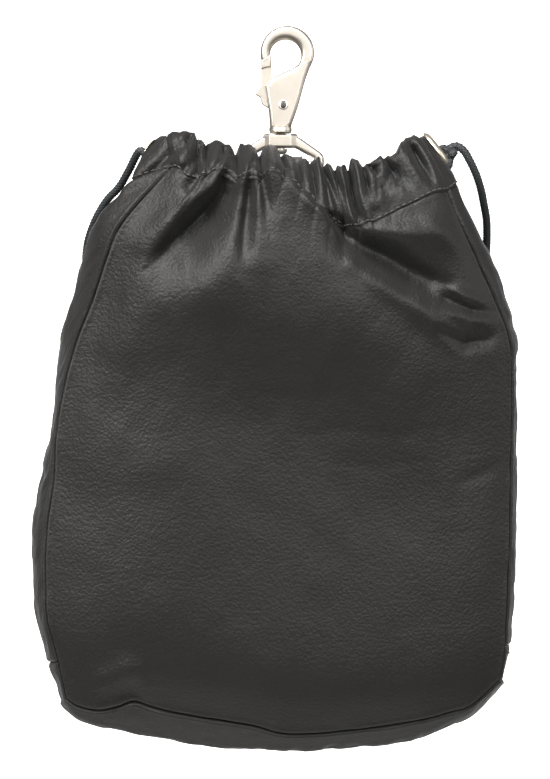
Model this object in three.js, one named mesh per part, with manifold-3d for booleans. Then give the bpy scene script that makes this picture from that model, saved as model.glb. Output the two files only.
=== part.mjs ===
// Black leather drawstring pouch with a swivel snap hook, as it hangs from the hook.
// Millimetres, +X to the right, +Y to the back, +Z up.
// The origin is the inside top of the hook's arch, where a belt loop or a peg carries it.

import * as THREE from 'three';
import { mergeVertices } from 'three/addons/utils/BufferGeometryUtils.js';
import Module from 'manifold-3d';

const wasm = await Module();
wasm.setup();

// Pouch sizes
const POUCH_WIDTH = 190;
const POUCH_HEIGHT = 241;
const POUCH_DEPTH = 78;
const POUCH_SIDE_SHIFT = -3.3;
const CROWN_ABOVE_BAR = 12.45;
const LEATHER_THICK = 1.6;
const SEAM_GAP = 0.3;
const SIDE_SEAM_JOIN = 0.93;

// Hem sizes: the tunnel for the cord is folded over at the mouth
const HEM_THICK = 7.6;
const HEM_LIFT = 0.4;
const GATHER_REACH = 17;
const GATHER_OUT = 3.4;
const GATHER_RISE = 3.4;

// Cord and grommet sizes
const CORD_DIAMETER = 3.2;
const CORD_SIDES = 8;
const CORD_STEPS = 60;
const KNOT_RADIUS = 3;
const GROMMET_DIAMETER = 16;
const GROMMET_FLANGE = 1.1;
const GROMMET_BORE = 6.4;
const GROMMET_WALL = 1.1;
const GROMMET_UP = 0.62;
const FIT_GAP = 0.3;

// Hook sizes
const HOOK_THICK = 6;
const HOOK_BEVEL = 1.1;
const ARCH_OUTER_RADIUS = 10.5;
const ARCH_INNER_RADIUS = 6.1;
const ARCH_SIDE_SHIFT = 0.7;
const ARCH_RISE = 1;
const NOSE_OUTER_ANGLE = 196;
const NOSE_INNER_ANGLE = 177.6;
const RIGHT_OUTER_ANGLE = -16;
const RIGHT_INNER_ANGLE = -24;
const EYE_LENGTH = 14;
const BODY_LENGTH = 33.7;
const NECK_WIDTH = 8.2;
const NECK_SIDE = -1.37;
const GATE_THICK = 2.2;
const GATE_ARM_WIDTH = 3.4;
const GATE_ARM_THICK = 3.8;
const GATE_ARM_BEVEL = 0.5;
const GATE_BEVEL = 0.3;
const GATE_HUB_RADIUS = 2.5;
const SLOT_ROOM = 1.1;
const PIN_RADIUS = 1.15;
const PIN_SIDE = -0.25;
const PIN_DROP = 0.7537 * BODY_LENGTH;
const PIN_PROUD = 0.2;
const COLLAR_DIAMETER = 9;
const COLLAR_THICK = 2.6;
const SHANK_DIAMETER = 3.2;
const SHANK_SINK = 1.5;
const RIVET_DIAMETER = 5.2;
const RIVET_THICK = 2.2;

// Swivel ring and keeper tab sizes
const RING_WIDTH = 34;
const RING_WIRE = 3.1;
const BLOCK_WIDTH = 13.6;
const BLOCK_HEIGHT = 4.6;
const BLOCK_THICK = 6.4;
const TAB_WIDTH = 17;
const TAB_LENGTH = 25;
const TAB_LEATHER = 1.5;
const TAB_ROOM = 1.4;
const TAB_PLY_GAP = 0.05;
const RING_BEVEL = 1;
const BLOCK_BEVEL = 0.6;

// Drops under the hook's arch: the ring's bar hangs under the rivet, and the pouch from the bar
const TAB_EYE_RADIUS = 0.5 * RING_WIRE + 2 * FIT_GAP;
const RIVET_TOP = BODY_LENGTH + COLLAR_THICK + BLOCK_HEIGHT + 2 * FIT_GAP;
const RING_BAR_DROP = RIVET_TOP + RIVET_THICK + TAB_ROOM + TAB_EYE_RADIUS + TAB_LEATHER;
const CROWN_DROP = RING_BAR_DROP - CROWN_ABOVE_BAR;

// Turns of the neck loop at the four corner seams
const FRONT_END = 0.42;
const RIGHT_END = 0.5;
const BACK_END = 0.92;

// Side seams from the mouth down: drop is a share of the pouch height, left, right and the
// bows of the gusset past its seams are shares of the width, front and back of the depth.
const SIDE_ROWS = [
  { drop: 0.027, left: -0.175, right: 0.337, leftBow: 0.050, rightBow: 0.025, front: -0.423, back: -0.179 },
  { drop: 0.108, left: -0.270, right: 0.362, leftBow: 0.050, rightBow: 0.029, front: -0.417, back: -0.096 },
  { drop: 0.157, left: -0.319, right: 0.386, leftBow: 0.046, rightBow: 0.027, front: -0.417, back: -0.010 },
  { drop: 0.209, left: -0.346, right: 0.415, leftBow: 0.045, rightBow: 0.023, front: -0.386, back: 0.089 },
  { drop: 0.270, left: -0.372, right: 0.449, leftBow: 0.045, rightBow: 0.017, front: -0.346, back: 0.192 },
  { drop: 0.335, left: -0.405, right: 0.479, leftBow: 0.037, rightBow: 0.010, front: -0.306, back: 0.286 },
  { drop: 0.400, left: -0.429, right: 0.484, leftBow: 0.031, rightBow: 0.012, front: -0.276, back: 0.352 },
  { drop: 0.481, left: -0.448, right: 0.483, leftBow: 0.029, rightBow: 0.014, front: -0.253, back: 0.404 },
  { drop: 0.562, left: -0.454, right: 0.481, leftBow: 0.035, rightBow: 0.017, front: -0.236, back: 0.444 },
  { drop: 0.642, left: -0.468, right: 0.480, leftBow: 0.031, rightBow: 0.016, front: -0.223, back: 0.469 },
  { drop: 0.723, left: -0.471, right: 0.476, leftBow: 0.029, rightBow: 0.018, front: -0.210, back: 0.476 },
  { drop: 0.788, left: -0.467, right: 0.473, leftBow: 0.025, rightBow: 0.016, front: -0.196, back: 0.471 },
  { drop: 0.845, left: -0.448, right: 0.468, leftBow: 0.025, rightBow: 0.014, front: -0.176, back: 0.454 },
  { drop: 0.918, left: -0.429, right: 0.452, leftBow: 0.012, rightBow: 0.006, front: -0.153, back: 0.420 },
];

// Bottom seam from the left corner to the right: across is a share of the way between the
// corners, drop and the sag of the base strip under it are shares of the pouch height.
const HEM_ROWS = [
  { across: 0.000, drop: 0.913, sag: 0.015 },
  { across: 0.028, drop: 0.926, sag: 0.023 },
  { across: 0.074, drop: 0.933, sag: 0.030 },
  { across: 0.120, drop: 0.927, sag: 0.043 },
  { across: 0.159, drop: 0.918, sag: 0.058 },
  { across: 0.194, drop: 0.926, sag: 0.054 },
  { across: 0.253, drop: 0.936, sag: 0.051 },
  { across: 0.345, drop: 0.947, sag: 0.049 },
  { across: 0.432, drop: 0.957, sag: 0.044 },
  { across: 0.492, drop: 0.969, sag: 0.033 },
  { across: 0.568, drop: 0.970, sag: 0.031 },
  { across: 0.722, drop: 0.959, sag: 0.033 },
  { across: 0.816, drop: 0.948, sag: 0.033 },
  { across: 0.874, drop: 0.938, sag: 0.026 },
  { across: 0.931, drop: 0.925, sag: 0.020 },
  { across: 1.000, drop: 0.883, sag: 0.013 },
];

// Neck loop, seen from above anticlockwise from the front left seam: the hem's stitched foot
// and its folded rim, across as shares of the width, deep of the depth, drop of the height.
const NECK_ROWS = [
  { turn: 0.000, footX: -0.212, footY: -0.423, footDrop: 0.060, rimX: -0.220, rimY: -0.308, rimDrop: 0.008 },
  { turn: 0.035, footX: -0.173, footY: -0.487, footDrop: 0.082, rimX: -0.179, rimY: -0.333, rimDrop: 0.008 },
  { turn: 0.080, footX: -0.122, footY: -0.526, footDrop: 0.073, rimX: -0.126, rimY: -0.321, rimDrop: 0.021 },
  { turn: 0.125, footX: -0.061, footY: -0.551, footDrop: 0.082, rimX: -0.067, rimY: -0.321, rimDrop: 0.034 },
  { turn: 0.175, footX: 0.001, footY: -0.564, footDrop: 0.079, rimX: -0.007, rimY: -0.321, rimDrop: 0.038 },
  { turn: 0.220, footX: 0.063, footY: -0.571, footDrop: 0.108, rimX: 0.052, rimY: -0.359, rimDrop: 0.047 },
  { turn: 0.270, footX: 0.136, footY: -0.577, footDrop: 0.156, rimX: 0.116, rimY: -0.462, rimDrop: 0.057 },
  { turn: 0.315, footX: 0.194, footY: -0.571, footDrop: 0.150, rimX: 0.173, rimY: -0.462, rimDrop: 0.050 },
  { turn: 0.360, footX: 0.251, footY: -0.551, footDrop: 0.128, rimX: 0.235, rimY: -0.423, rimDrop: 0.035 },
  { turn: 0.395, footX: 0.317, footY: -0.513, footDrop: 0.104, rimX: 0.280, rimY: -0.359, rimDrop: 0.010 },
  { turn: 0.420, footX: 0.348, footY: -0.436, footDrop: 0.097, rimX: 0.286, rimY: -0.321, rimDrop: 0.004 },
  { turn: 0.440, footX: 0.367, footY: -0.359, footDrop: 0.086, rimX: 0.290, rimY: -0.279, rimDrop: 0.003 },
  { turn: 0.480, footX: 0.367, footY: -0.160, footDrop: 0.086, rimX: 0.290, rimY: -0.141, rimDrop: 0.003 },
  { turn: 0.500, footX: 0.354, footY: -0.090, footDrop: 0.100, rimX: 0.281, rimY: -0.077, rimDrop: 0.010 },
  { turn: 0.560, footX: 0.306, footY: -0.055, footDrop: 0.131, rimX: 0.255, rimY: -0.055, rimDrop: 0.034 },
  { turn: 0.640, footX: 0.190, footY: -0.050, footDrop: 0.160, rimX: 0.150, rimY: -0.050, rimDrop: 0.066 },
  { turn: 0.690, footX: 0.080, footY: -0.039, footDrop: 0.168, rimX: 0.075, rimY: -0.039, rimDrop: 0.072 },
  { turn: 0.770, footX: -0.050, footY: -0.039, footDrop: 0.168, rimX: -0.050, rimY: -0.039, rimDrop: 0.072 },
  { turn: 0.820, footX: -0.134, footY: -0.060, footDrop: 0.144, rimX: -0.125, rimY: -0.060, rimDrop: 0.052 },
  { turn: 0.880, footX: -0.225, footY: -0.085, footDrop: 0.108, rimX: -0.183, rimY: -0.085, rimDrop: 0.026 },
  { turn: 0.920, footX: -0.268, footY: -0.154, footDrop: 0.086, rimX: -0.212, rimY: -0.154, rimDrop: 0.012 },
  { turn: 0.950, footX: -0.282, footY: -0.256, footDrop: 0.080, rimX: -0.226, rimY: -0.210, rimDrop: 0.010 },
  { turn: 0.980, footX: -0.286, footY: -0.359, footDrop: 0.076, rimX: -0.233, rimY: -0.282, rimDrop: 0.010 },
];

// Gathers: each lobe starts in the valley at its turn and ends where the next one starts.
const LOBES = [
  { turn: 0.000, out: 0.9, rise: 1.0 },
  { turn: 0.052, out: 0.5, rise: 0.3 },
  { turn: 0.067, out: 0.9, rise: 0.8 },
  { turn: 0.113, out: 1.0, rise: 1.0 },
  { turn: 0.153, out: 1.0, rise: 1.0 },
  { turn: 0.187, out: 0.7, rise: 0.5 },
  { turn: 0.212, out: 0.6, rise: 0.4 },
  { turn: 0.233, out: 0.6, rise: 0.4 },
  { turn: 0.254, out: 0.5, rise: 0.3 },
  { turn: 0.273, out: 0.7, rise: 0.5 },
  { turn: 0.294, out: 0.8, rise: 0.6 },
  { turn: 0.318, out: 0.8, rise: 0.6 },
  { turn: 0.346, out: 0.9, rise: 0.5 },
  { turn: 0.376, out: 0.9, rise: 0.5 },
  { turn: 0.420, out: 0.0, rise: 0.0 },
  { turn: 0.500, out: 0.8, rise: 0.5 },
  { turn: 0.545, out: 0.7, rise: 0.5 },
  { turn: 0.590, out: 0.8, rise: 0.5 },
  { turn: 0.635, out: 0.6, rise: 0.5 },
  { turn: 0.680, out: 0.0, rise: 0.0 },
  { turn: 0.780, out: 0.6, rise: 0.5 },
  { turn: 0.825, out: 0.8, rise: 0.5 },
  { turn: 0.870, out: 0.7, rise: 0.5 },
  { turn: 0.920, out: 0.0, rise: 0.0 },
  { turn: 1.000, out: 0.0, rise: 0.0 },
];

// How far the panels swell past the flat sheet between their seams, by the share of the way
// down, as shares of the depth.
const SWELL_ROWS = [
  { down: 0.00, front: 0.000, back: 0.000 },
  { down: 0.20, front: 0.030, back: 0.035 },
  { down: 0.50, front: 0.070, back: 0.090 },
  { down: 0.80, front: 0.115, back: 0.125 },
  { down: 0.92, front: 0.100, back: 0.105 },
  { down: 1.00, front: 0.000, back: 0.000 },
];

// Folds of the front panel: the line of each from one end to the other, x and width as shares
// of the width, drop of the height, depth of the depth, into the pouch where it is positive.
const FRONT_FOLDS = [
  { fromX: -0.112, fromDrop: 0.057, toX: -0.142, toDrop: 0.128, width: 0.049, depth: 0.077 },
  { fromX: -0.147, fromDrop: 0.131, toX: -0.237, toDrop: 0.189, width: 0.045, depth: 0.058 },
  { fromX: -0.048, fromDrop: 0.092, toX: -0.063, toDrop: 0.209, width: 0.027, depth: 0.031 },
  { fromX: -0.015, fromDrop: 0.089, toX: -0.001, toDrop: 0.147, width: 0.023, depth: 0.023 },
  { fromX: 0.157, fromDrop: 0.195, toX: 0.337, toDrop: 0.196, width: 0.060, depth: 0.065 },
  { fromX: 0.186, fromDrop: 0.167, toX: 0.340, toDrop: 0.135, width: 0.040, depth: -0.040 },
  { fromX: 0.015, fromDrop: 0.076, toX: 0.132, toDrop: 0.170, width: 0.029, depth: -0.039 },
  { fromX: 0.153, fromDrop: 0.225, toX: 0.267, toDrop: 0.240, width: 0.037, depth: -0.041 },
  { fromX: 0.267, fromDrop: 0.240, toX: 0.337, toDrop: 0.312, width: 0.037, depth: -0.031 },
  { fromX: 0.337, fromDrop: 0.299, toX: 0.440, toDrop: 0.330, width: 0.025, depth: -0.026 },
  { fromX: -0.347, fromDrop: 0.885, toX: -0.286, toDrop: 0.860, width: 0.053, depth: -0.036 },
  { fromX: -0.257, fromDrop: 0.209, toX: -0.335, toDrop: 0.367, width: 0.062, depth: 0.021 },
];

// Folds of the back panel, in the same columns
const BACK_FOLDS = [
  { fromX: -0.150, fromDrop: 0.190, toX: -0.230, toDrop: 0.330, width: 0.045, depth: 0.035 },
  { fromX: 0.020, fromDrop: 0.230, toX: 0.010, toDrop: 0.360, width: 0.040, depth: 0.030 },
  { fromX: 0.180, fromDrop: 0.200, toX: 0.260, toDrop: 0.330, width: 0.045, depth: 0.035 },
];

// Section of the hem: up is the share of its height, out the share of its thickness.
const HEM_OUTSIDE = [
  { up: 0.00, out: 0.00 },
  { up: 0.20, out: 0.15 },
  { up: 0.80, out: 0.15 },
  { up: 0.96, out: -0.04 },
  { up: 1.00, out: -0.30 },
  { up: 0.95, out: -0.60 },
  { up: 0.78, out: -0.83 },
  { up: 0.50, out: -0.85 },
  { up: 0.22, out: -0.70 },
  { up: 0.00, out: -0.42 },
];
const HEM_TUNNEL = [
  { up: 0.24, out: -0.10 },
  { up: 0.78, out: -0.08 },
  { up: 0.90, out: -0.30 },
  { up: 0.78, out: -0.60 },
  { up: 0.50, out: -0.64 },
  { up: 0.24, out: -0.48 },
];

// Rows of points down the panels, with the number of steps across at each
const PANEL_ROWS = [
  { down: 0.000, fine: 4 },
  { down: 0.035, fine: 4 },
  { down: 0.080, fine: 4 },
  { down: 0.135, fine: 2 },
  { down: 0.200, fine: 2 },
  { down: 0.270, fine: 2 },
  { down: 0.345, fine: 0 },
  { down: 0.430, fine: 0 },
  { down: 0.520, fine: 0 },
  { down: 0.610, fine: 0 },
  { down: 0.700, fine: 0 },
  { down: 0.790, fine: 0 },
  { down: 0.870, fine: 0 },
  { down: SIDE_SEAM_JOIN, fine: 0 },
  { down: 1.000, fine: 0 },
];
const PLAIN_STEPS = 18;
const GUSSET_STEPS = 6;

// Free run of the cord from the knot, down behind the pouch and up to the left grommet. The
// heights are from the ring's bar.
const KNOT_CENTRE = [65.4, -18.0, 4.85];
const TAIL_POINTS = [
  [67.6, -20.0, 1.35],
  [68.2, -22.4, -2.85],
];
const CORD_POINTS = [
  [67.2, -18.0, 8.45],
  [68.6, -18.0, 8.75],
  [70.4, -18.2, 6.95],
  [72.6, -17.8, 2.75],
  [74.8, -16.0, -2.45],
  [76.6, -13.0, -8.25],
  [77.9, -8.8, -14.65],
  [78.8, -3.6, -21.45],
  [79.2, 2.7, -28.65],
  [78.8, 9.2, -37.25],
  [76.4, 18.4, -49.25],
  [70.4, 26.7, -64.25],
  [60.4, 33.5, -80.25],
  [46.4, 39.1, -95.25],
  [29.0, 42.7, -106.25],
  [9.8, 44.7, -112.25],
  [-9.8, 45.3, -112.85],
  [-29.0, 44.3, -108.25],
  [-46.4, 41.3, -98.25],
  [-60.6, 36.4, -83.25],
  [-70.6, 28.2, -66.25],
  [-76.0, 18.5, -50.25],
  [-77.6, 10.7, -38.25],
  [-76.6, 4.8, -29.65],
  [-73.4, -0.6, -21.25],
  [-69.0, -4.6, -14.05],
  [-64.0, -8.6, -8.85],
  [-60.4, -12.6, -3.05],
];

// Materials
const leather = new THREE.MeshStandardMaterial({ color: 0x3a3838, roughness: 0.55, metalness: 0 });
const leatherEdge = new THREE.MeshStandardMaterial({ color: 0x2b2a2a, roughness: 0.6, metalness: 0 });
const nickel = new THREE.MeshStandardMaterial({ color: 0xd9d3c8, roughness: 0.38, metalness: 1 });
const paleBrass = new THREE.MeshStandardMaterial({ color: 0xcdbf9c, roughness: 0.35, metalness: 1 });
const braid = new THREE.MeshStandardMaterial({ color: 0x14151a, roughness: 0.8, metalness: 0 });

// Places from shares of the pouch
const vec = (x, y, z) => new THREE.Vector3(x, y, z);
const placeX = (share) => POUCH_SIDE_SHIFT + share * POUCH_WIDTH;
const placeY = (share) => share * POUCH_DEPTH;
const placeZ = (drop) => -CROWN_DROP - drop * POUCH_HEIGHT;
const clamp = (value, low, high) => Math.min(high, Math.max(low, value));
const ease = (t) => {
  const s = clamp(t, 0, 1);
  return s * s * (3 - 2 * s);
};

const fromBar = ([x, y, z]) => vec(x, y, z - RING_BAR_DROP);
const radians = (degrees) => degrees * Math.PI / 180;

// Smooth value of one column between the rows of a table
function read(rows, key, column, at, period = 0) {
  const count = rows.length;
  const keyAt = (i) => {
    const wraps = Math.floor(i / count);
    return period ? rows[i - wraps * count][key] + wraps * period : rows[clamp(i, 0, count - 1)][key];
  };
  const valueAt = (i) => (period ? rows[((i % count) + count) % count][column]
    : rows[clamp(i, 0, count - 1)][column]);
  let i = 0;
  const last = period ? count - 1 : count - 2;
  while (i < last && keyAt(i + 1) <= at) i += 1;
  const span = keyAt(i + 1) - keyAt(i);
  const slope = (j) => {
    const reach = keyAt(j + 1) - keyAt(j - 1);
    return reach > 0 ? (valueAt(j + 1) - valueAt(j - 1)) / reach : 0;
  };
  const t = clamp((at - keyAt(i)) / span, 0, 1);
  const t2 = t * t;
  const t3 = t2 * t;
  return valueAt(i) * (2 * t3 - 3 * t2 + 1) + valueAt(i + 1) * (3 * t2 - 2 * t3)
    + span * (slope(i) * (t3 - 2 * t2 + t) + slope(i + 1) * (t3 - t2));
}

// Gather of the neck at one turn: how far it stands out and how much its rim rises
function gather(turn) {
  const at = clamp(turn, 0, 1);
  let i = 0;
  while (i < LOBES.length - 2 && LOBES[i + 1].turn <= at) i += 1;
  const lobe = LOBES[i];
  const share = (at - lobe.turn) / (LOBES[i + 1].turn - lobe.turn);
  const hump = Math.sin(Math.PI * clamp(share, 0, 1));
  return { out: GATHER_OUT * lobe.out * hump, rise: GATHER_RISE * lobe.rise * hump };
}

// Neck loop at one turn, without its gathers
function neck(turn) {
  const column = (name) => read(NECK_ROWS, 'turn', name, turn, 1);
  const foot = vec(placeX(column('footX')), placeY(column('footY')), placeZ(column('footDrop')));
  const rim = vec(placeX(column('rimX')), placeY(column('rimY')), placeZ(column('rimDrop')));
  return { foot, rim };
}

// Frame of the hem at one turn: foot, height, direction up the hem and direction outwards
function hemFrame(turn) {
  const step = 0.004;
  const here = neck(turn);
  const ahead = neck((turn + step) % 1);
  const behind = neck((turn - step + 1) % 1);
  const along = ahead.foot.clone().sub(behind.foot).add(ahead.rim).sub(behind.rim).normalize();
  const up = here.rim.clone().sub(here.foot);
  const height = up.length();
  up.normalize();
  const out = along.clone().cross(up).normalize();
  return { foot: here.foot, height, up, out };
}

const gatheredFoot = (turn) => {
  const frame = hemFrame(turn);
  return frame.foot.clone().addScaledVector(frame.out, gather(turn).out);
};

// Side seams: each starts on the neck loop and ends in the corner of the bottom seam
function seamPoint(side, face, down) {
  const startTurn = { left: { front: 0, back: BACK_END }, right: { front: FRONT_END, back: RIGHT_END } };
  const start = neck(startTurn[side][face]).foot;
  const startDrop = (-CROWN_DROP - start.z) / POUCH_HEIGHT;
  const endDrop = side === 'left' ? HEM_ROWS[0].drop : HEM_ROWS[HEM_ROWS.length - 1].drop;
  const at = (drop) => vec(placeX(read(SIDE_ROWS, 'drop', side, drop)),
    placeY(read(SIDE_ROWS, 'drop', face, drop)), placeZ(drop));
  const drop = startDrop + (endDrop - startDrop) * down;
  const miss = start.clone().sub(at(startDrop));
  return at(drop).addScaledVector(miss, (1 - down) ** 6);
}

function hemSeamPoint(face, across) {
  const left = seamPoint('left', face, 1);
  const right = seamPoint('right', face, 1);
  const point = left.clone().lerp(right, across);
  point.z = placeZ(read(HEM_ROWS, 'across', 'drop', across));
  const side = face === 'front' ? -1 : 1;
  point.y += side * SEAM_BOW * POUCH_DEPTH * Math.sin(Math.PI * across);
  return point;
}

function foldDepth(folds, x, z) {
  let depth = 0;
  for (const fold of folds) {
    const ax = placeX(fold.fromX);
    const az = placeZ(fold.fromDrop);
    const bx = placeX(fold.toX);
    const bz = placeZ(fold.toDrop);
    const length2 = (bx - ax) ** 2 + (bz - az) ** 2;
    const share = clamp(((x - ax) * (bx - ax) + (z - az) * (bz - az)) / length2, 0, 1);
    const distance = Math.hypot(x - ax - share * (bx - ax), z - az - share * (bz - az));
    depth += fold.depth * POUCH_DEPTH * Math.exp(-((2 * distance / (fold.width * POUCH_WIDTH)) ** 2));
  }
  return depth;
}

// Shares over which the folds fade out at the sides, the top and the foot of a panel
const FOLD_FADE = { side: 0.07, top: 0.05, foot: 0.08 };
const SEAM_BOW = 0.05;
const BAND_SETTLE = 0.16;

// Front or back panel at a share across, left to right, and a share down
function panelPoint(face, across, down) {
  const isFront = face === 'front';
  const turn = isFront ? across * FRONT_END : BACK_END + (RIGHT_END - BACK_END) * across;
  const top = neck(turn).foot;
  const bottom = hemSeamPoint(face, across);
  const left = seamPoint('left', face, down);
  const right = seamPoint('right', face, down);
  const topLeft = seamPoint('left', face, 0);
  const topRight = seamPoint('right', face, 0);
  const bottomLeft = hemSeamPoint(face, 0);
  const bottomRight = hemSeamPoint(face, 1);
  const point = vec(0, 0, 0);
  point.addScaledVector(top, 1 - down).addScaledVector(bottom, down);
  point.addScaledVector(left, 1 - across).addScaledVector(right, across);
  point.addScaledVector(topLeft, -(1 - across) * (1 - down));
  point.addScaledVector(topRight, -across * (1 - down));
  point.addScaledVector(bottomLeft, -(1 - across) * down);
  point.addScaledVector(bottomRight, -across * down);
  const side = isFront ? -1 : 1;
  const crown = 1 - Math.abs(2 * across - 1) ** 3;
  point.y += side * POUCH_DEPTH * crown * read(SWELL_ROWS, 'down', face, down);
  const edge = ease(Math.min(across, 1 - across) / FOLD_FADE.side) * ease(down / FOLD_FADE.top)
    * ease((1 - down) / FOLD_FADE.foot);
  point.y -= side * edge * foldDepth(isFront ? FRONT_FOLDS : BACK_FOLDS, point.x, point.z);
  const fade = Math.exp(-down * POUCH_HEIGHT / GATHER_REACH);
  point.addScaledVector(hemFrame(turn).out, gather(turn).out * fade);
  return point;
}

// Stations of the gusset band: down the left seams, along the bottom and up the right seams
function bandStations() {
  const stations = [];
  PANEL_ROWS.forEach((row) => {
    stations.push({
      front: seamPoint('left', 'front', row.down),
      back: seamPoint('left', 'back', row.down),
      bow: POUCH_WIDTH * read(SIDE_ROWS, 'drop', 'leftBow', row.down * HEM_ROWS[0].drop),
      down: row.down,
      side: 'left',
    });
  });
  for (let i = 1; i < PLAIN_STEPS; i += 1) {
    const across = i / PLAIN_STEPS;
    stations.push({
      front: hemSeamPoint('front', across),
      back: hemSeamPoint('back', across),
      bow: POUCH_HEIGHT * read(HEM_ROWS, 'across', 'sag', across),
      down: 1,
      side: 'base',
    });
  }
  [...PANEL_ROWS].reverse().forEach((row) => {
    stations.push({
      front: seamPoint('right', 'front', row.down),
      back: seamPoint('right', 'back', row.down),
      bow: POUCH_WIDTH * read(SIDE_ROWS, 'drop', 'rightBow', row.down * HEM_ROWS[0].drop),
      down: row.down,
      side: 'right',
    });
  });
  stations.forEach((station, k) => {
    const before = stations[Math.max(0, k - 1)];
    const after = stations[Math.min(stations.length - 1, k + 1)];
    const along = after.front.clone().sub(before.front);
    station.outward = vec(along.z, 0, -along.x).normalize();
  });
  return stations;
}

// Band surface between the front and back seams of one station
function bandPoint(station, deep) {
  const point = station.front.clone().lerp(station.back, deep);
  const settled = station.side === 'base' ? 1 : ease(station.down / BAND_SETTLE);
  if (settled < 1) {
    const startTurn = station.side === 'left' ? 1 : FRONT_END;
    const endTurn = station.side === 'left' ? BACK_END : RIGHT_END;
    const turn = startTurn + (endTurn - startTurn) * deep;
    const chord = neck(startTurn % 1).foot.lerp(neck(endTurn).foot, deep);
    point.add(neck(turn % 1).foot.sub(chord).multiplyScalar(1 - settled));
  }
  return point.addScaledVector(station.outward, settled * station.bow * Math.sin(Math.PI * deep) ** 0.8);
}

// Sheets of points: triangles between rows that may hold different numbers of points
function joinRows(rows, flip) {
  const points = [];
  const starts = rows.map((row) => {
    points.push(...row.map((entry) => entry.point));
    return points.length - row.length;
  });
  const triangles = [];
  for (let r = 0; r + 1 < rows.length; r += 1) {
    let i = 0;
    let j = 0;
    while (i < rows[r].length - 1 || j < rows[r + 1].length - 1) {
      const nextUpper = i < rows[r].length - 1 ? rows[r][i + 1].at : Infinity;
      const nextLower = j < rows[r + 1].length - 1 ? rows[r + 1][j + 1].at : Infinity;
      const upper = starts[r] + i;
      const lower = starts[r + 1] + j;
      if (nextUpper <= nextLower) {
        triangles.push([upper, lower, upper + 1]);
        i += 1;
      } else {
        triangles.push([upper, lower, lower + 1]);
        j += 1;
      }
    }
  }
  return { points, triangles: flip ? triangles.map(([a, b, c]) => [a, c, b]) : triangles };
}

const pointKey = (p) => `${p.x.toFixed(3)} ${p.y.toFixed(3)} ${p.z.toFixed(3)}`;

// Shared directions into the leather, so that sheets which meet in a seam are mitred
function inwardDirections(sheets) {
  const sums = new Map();
  for (const sheet of sheets) {
    for (const triangle of sheet.triangles) {
      const [a, b, c] = triangle.map((i) => sheet.points[i]);
      const normal = b.clone().sub(a).cross(c.clone().sub(a)).normalize();
      triangle.forEach((corner, k) => {
        const p = sheet.points[corner];
        const toNext = sheet.points[triangle[(k + 1) % 3]].clone().sub(p);
        const toLast = sheet.points[triangle[(k + 2) % 3]].clone().sub(p);
        const key = pointKey(p);
        const entry = sums.get(key) ?? { sum: vec(0, 0, 0), normals: [] };
        entry.sum.addScaledVector(normal, toNext.angleTo(toLast));
        entry.normals.push(normal);
        sums.set(key, entry);
      });
    }
  }
  const directions = new Map();
  sums.forEach((entry, key) => {
    const mean = entry.sum.normalize();
    const lean = entry.normals.reduce((total, n) => total + n.dot(mean), 0) / entry.normals.length;
    directions.set(key, mean.multiplyScalar(-1 / clamp(lean, 0.7, 1)));
  });
  return directions;
}

// Closed wall of leather from a sheet: its edges stand back by half a seam gap
function leatherWall(sheet, inward) {
  const pull = sheet.points.map(() => []);
  const edges = new Map();
  for (const [a, b, c] of sheet.triangles) {
    for (const [from, to] of [[a, b], [b, c], [c, a]]) {
      if (!edges.delete(`${to} ${from}`)) edges.set(`${from} ${to}`, [from, to]);
    }
  }
  edges.forEach(([from, to]) => {
    const along = sheet.points[to].clone().sub(sheet.points[from]);
    const normal = inward[from].clone().add(inward[to]).multiplyScalar(-1);
    const towards = normal.cross(along).normalize();
    pull[from].push(towards);
    pull[to].push(towards);
  });
  const outer = sheet.points.map((point, i) => {
    const [first, second] = pull[i];
    if (!first) return point.clone();
    const shift = first.clone().add(second).multiplyScalar(0.5 * SEAM_GAP / (1 + first.dot(second)));
    return point.clone().add(shift);
  });
  const inner = outer.map((point, i) => point.clone().addScaledVector(inward[i], LEATHER_THICK));
  const count = outer.length;
  const triangles = [...sheet.triangles];
  sheet.triangles.forEach(([a, b, c]) => triangles.push([a + count, c + count, b + count]));
  edges.forEach(([from, to]) => {
    triangles.push([to, from, from + count], [to, from + count, to + count]);
  });
  return closedGeometry([...outer, ...inner], triangles);
}

function closedGeometry(points, triangles) {
  const geometry = new THREE.BufferGeometry();
  const numbers = points.flatMap((p) => [p.x, p.y, p.z]);
  geometry.setAttribute('position', new THREE.Float32BufferAttribute(numbers, 3));
  geometry.setIndex(triangles.flat());
  geometry.computeVertexNormals();
  return geometry;
}

// Joins and cuts
function toSolid(geometry) {
  const bare = geometry.clone();
  bare.deleteAttribute('normal');
  if (bare.getAttribute('uv')) bare.deleteAttribute('uv');
  const merged = mergeVertices(bare, 1e-4);
  return new wasm.Manifold(new wasm.Mesh({
    numProp: 3,
    vertProperties: Float32Array.from(merged.getAttribute('position').array),
    triVerts: Uint32Array.from(merged.getIndex().array),
  }));
}

function toGeometry(solid) {
  const result = solid.getMesh();
  const geometry = new THREE.BufferGeometry();
  geometry.setAttribute('position', new THREE.Float32BufferAttribute(result.vertProperties, 3));
  geometry.setIndex(Array.from(result.triVerts));
  geometry.computeVertexNormals();
  return geometry;
}

function joined(first, ...others) {
  return toGeometry(others.reduce((sum, other) => sum.add(toSolid(other)), toSolid(first)));
}

function cut(first, ...others) {
  return toGeometry(others.reduce((rest, other) => rest.subtract(toSolid(other)), toSolid(first)));
}

// Closed ring of sections: each section is a list of points, all of one length
function sectionRing(sections) {
  const sides = sections[0].length;
  const triangles = [];
  sections.forEach((_, k) => {
    const next = (k + 1) % sections.length;
    for (let i = 0; i < sides; i += 1) {
      const j = (i + 1) % sides;
      triangles.push([k * sides + i, next * sides + i, next * sides + j]);
      triangles.push([k * sides + i, next * sides + j, k * sides + j]);
    }
  });
  return closedGeometry(sections.flat(), triangles);
}

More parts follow.
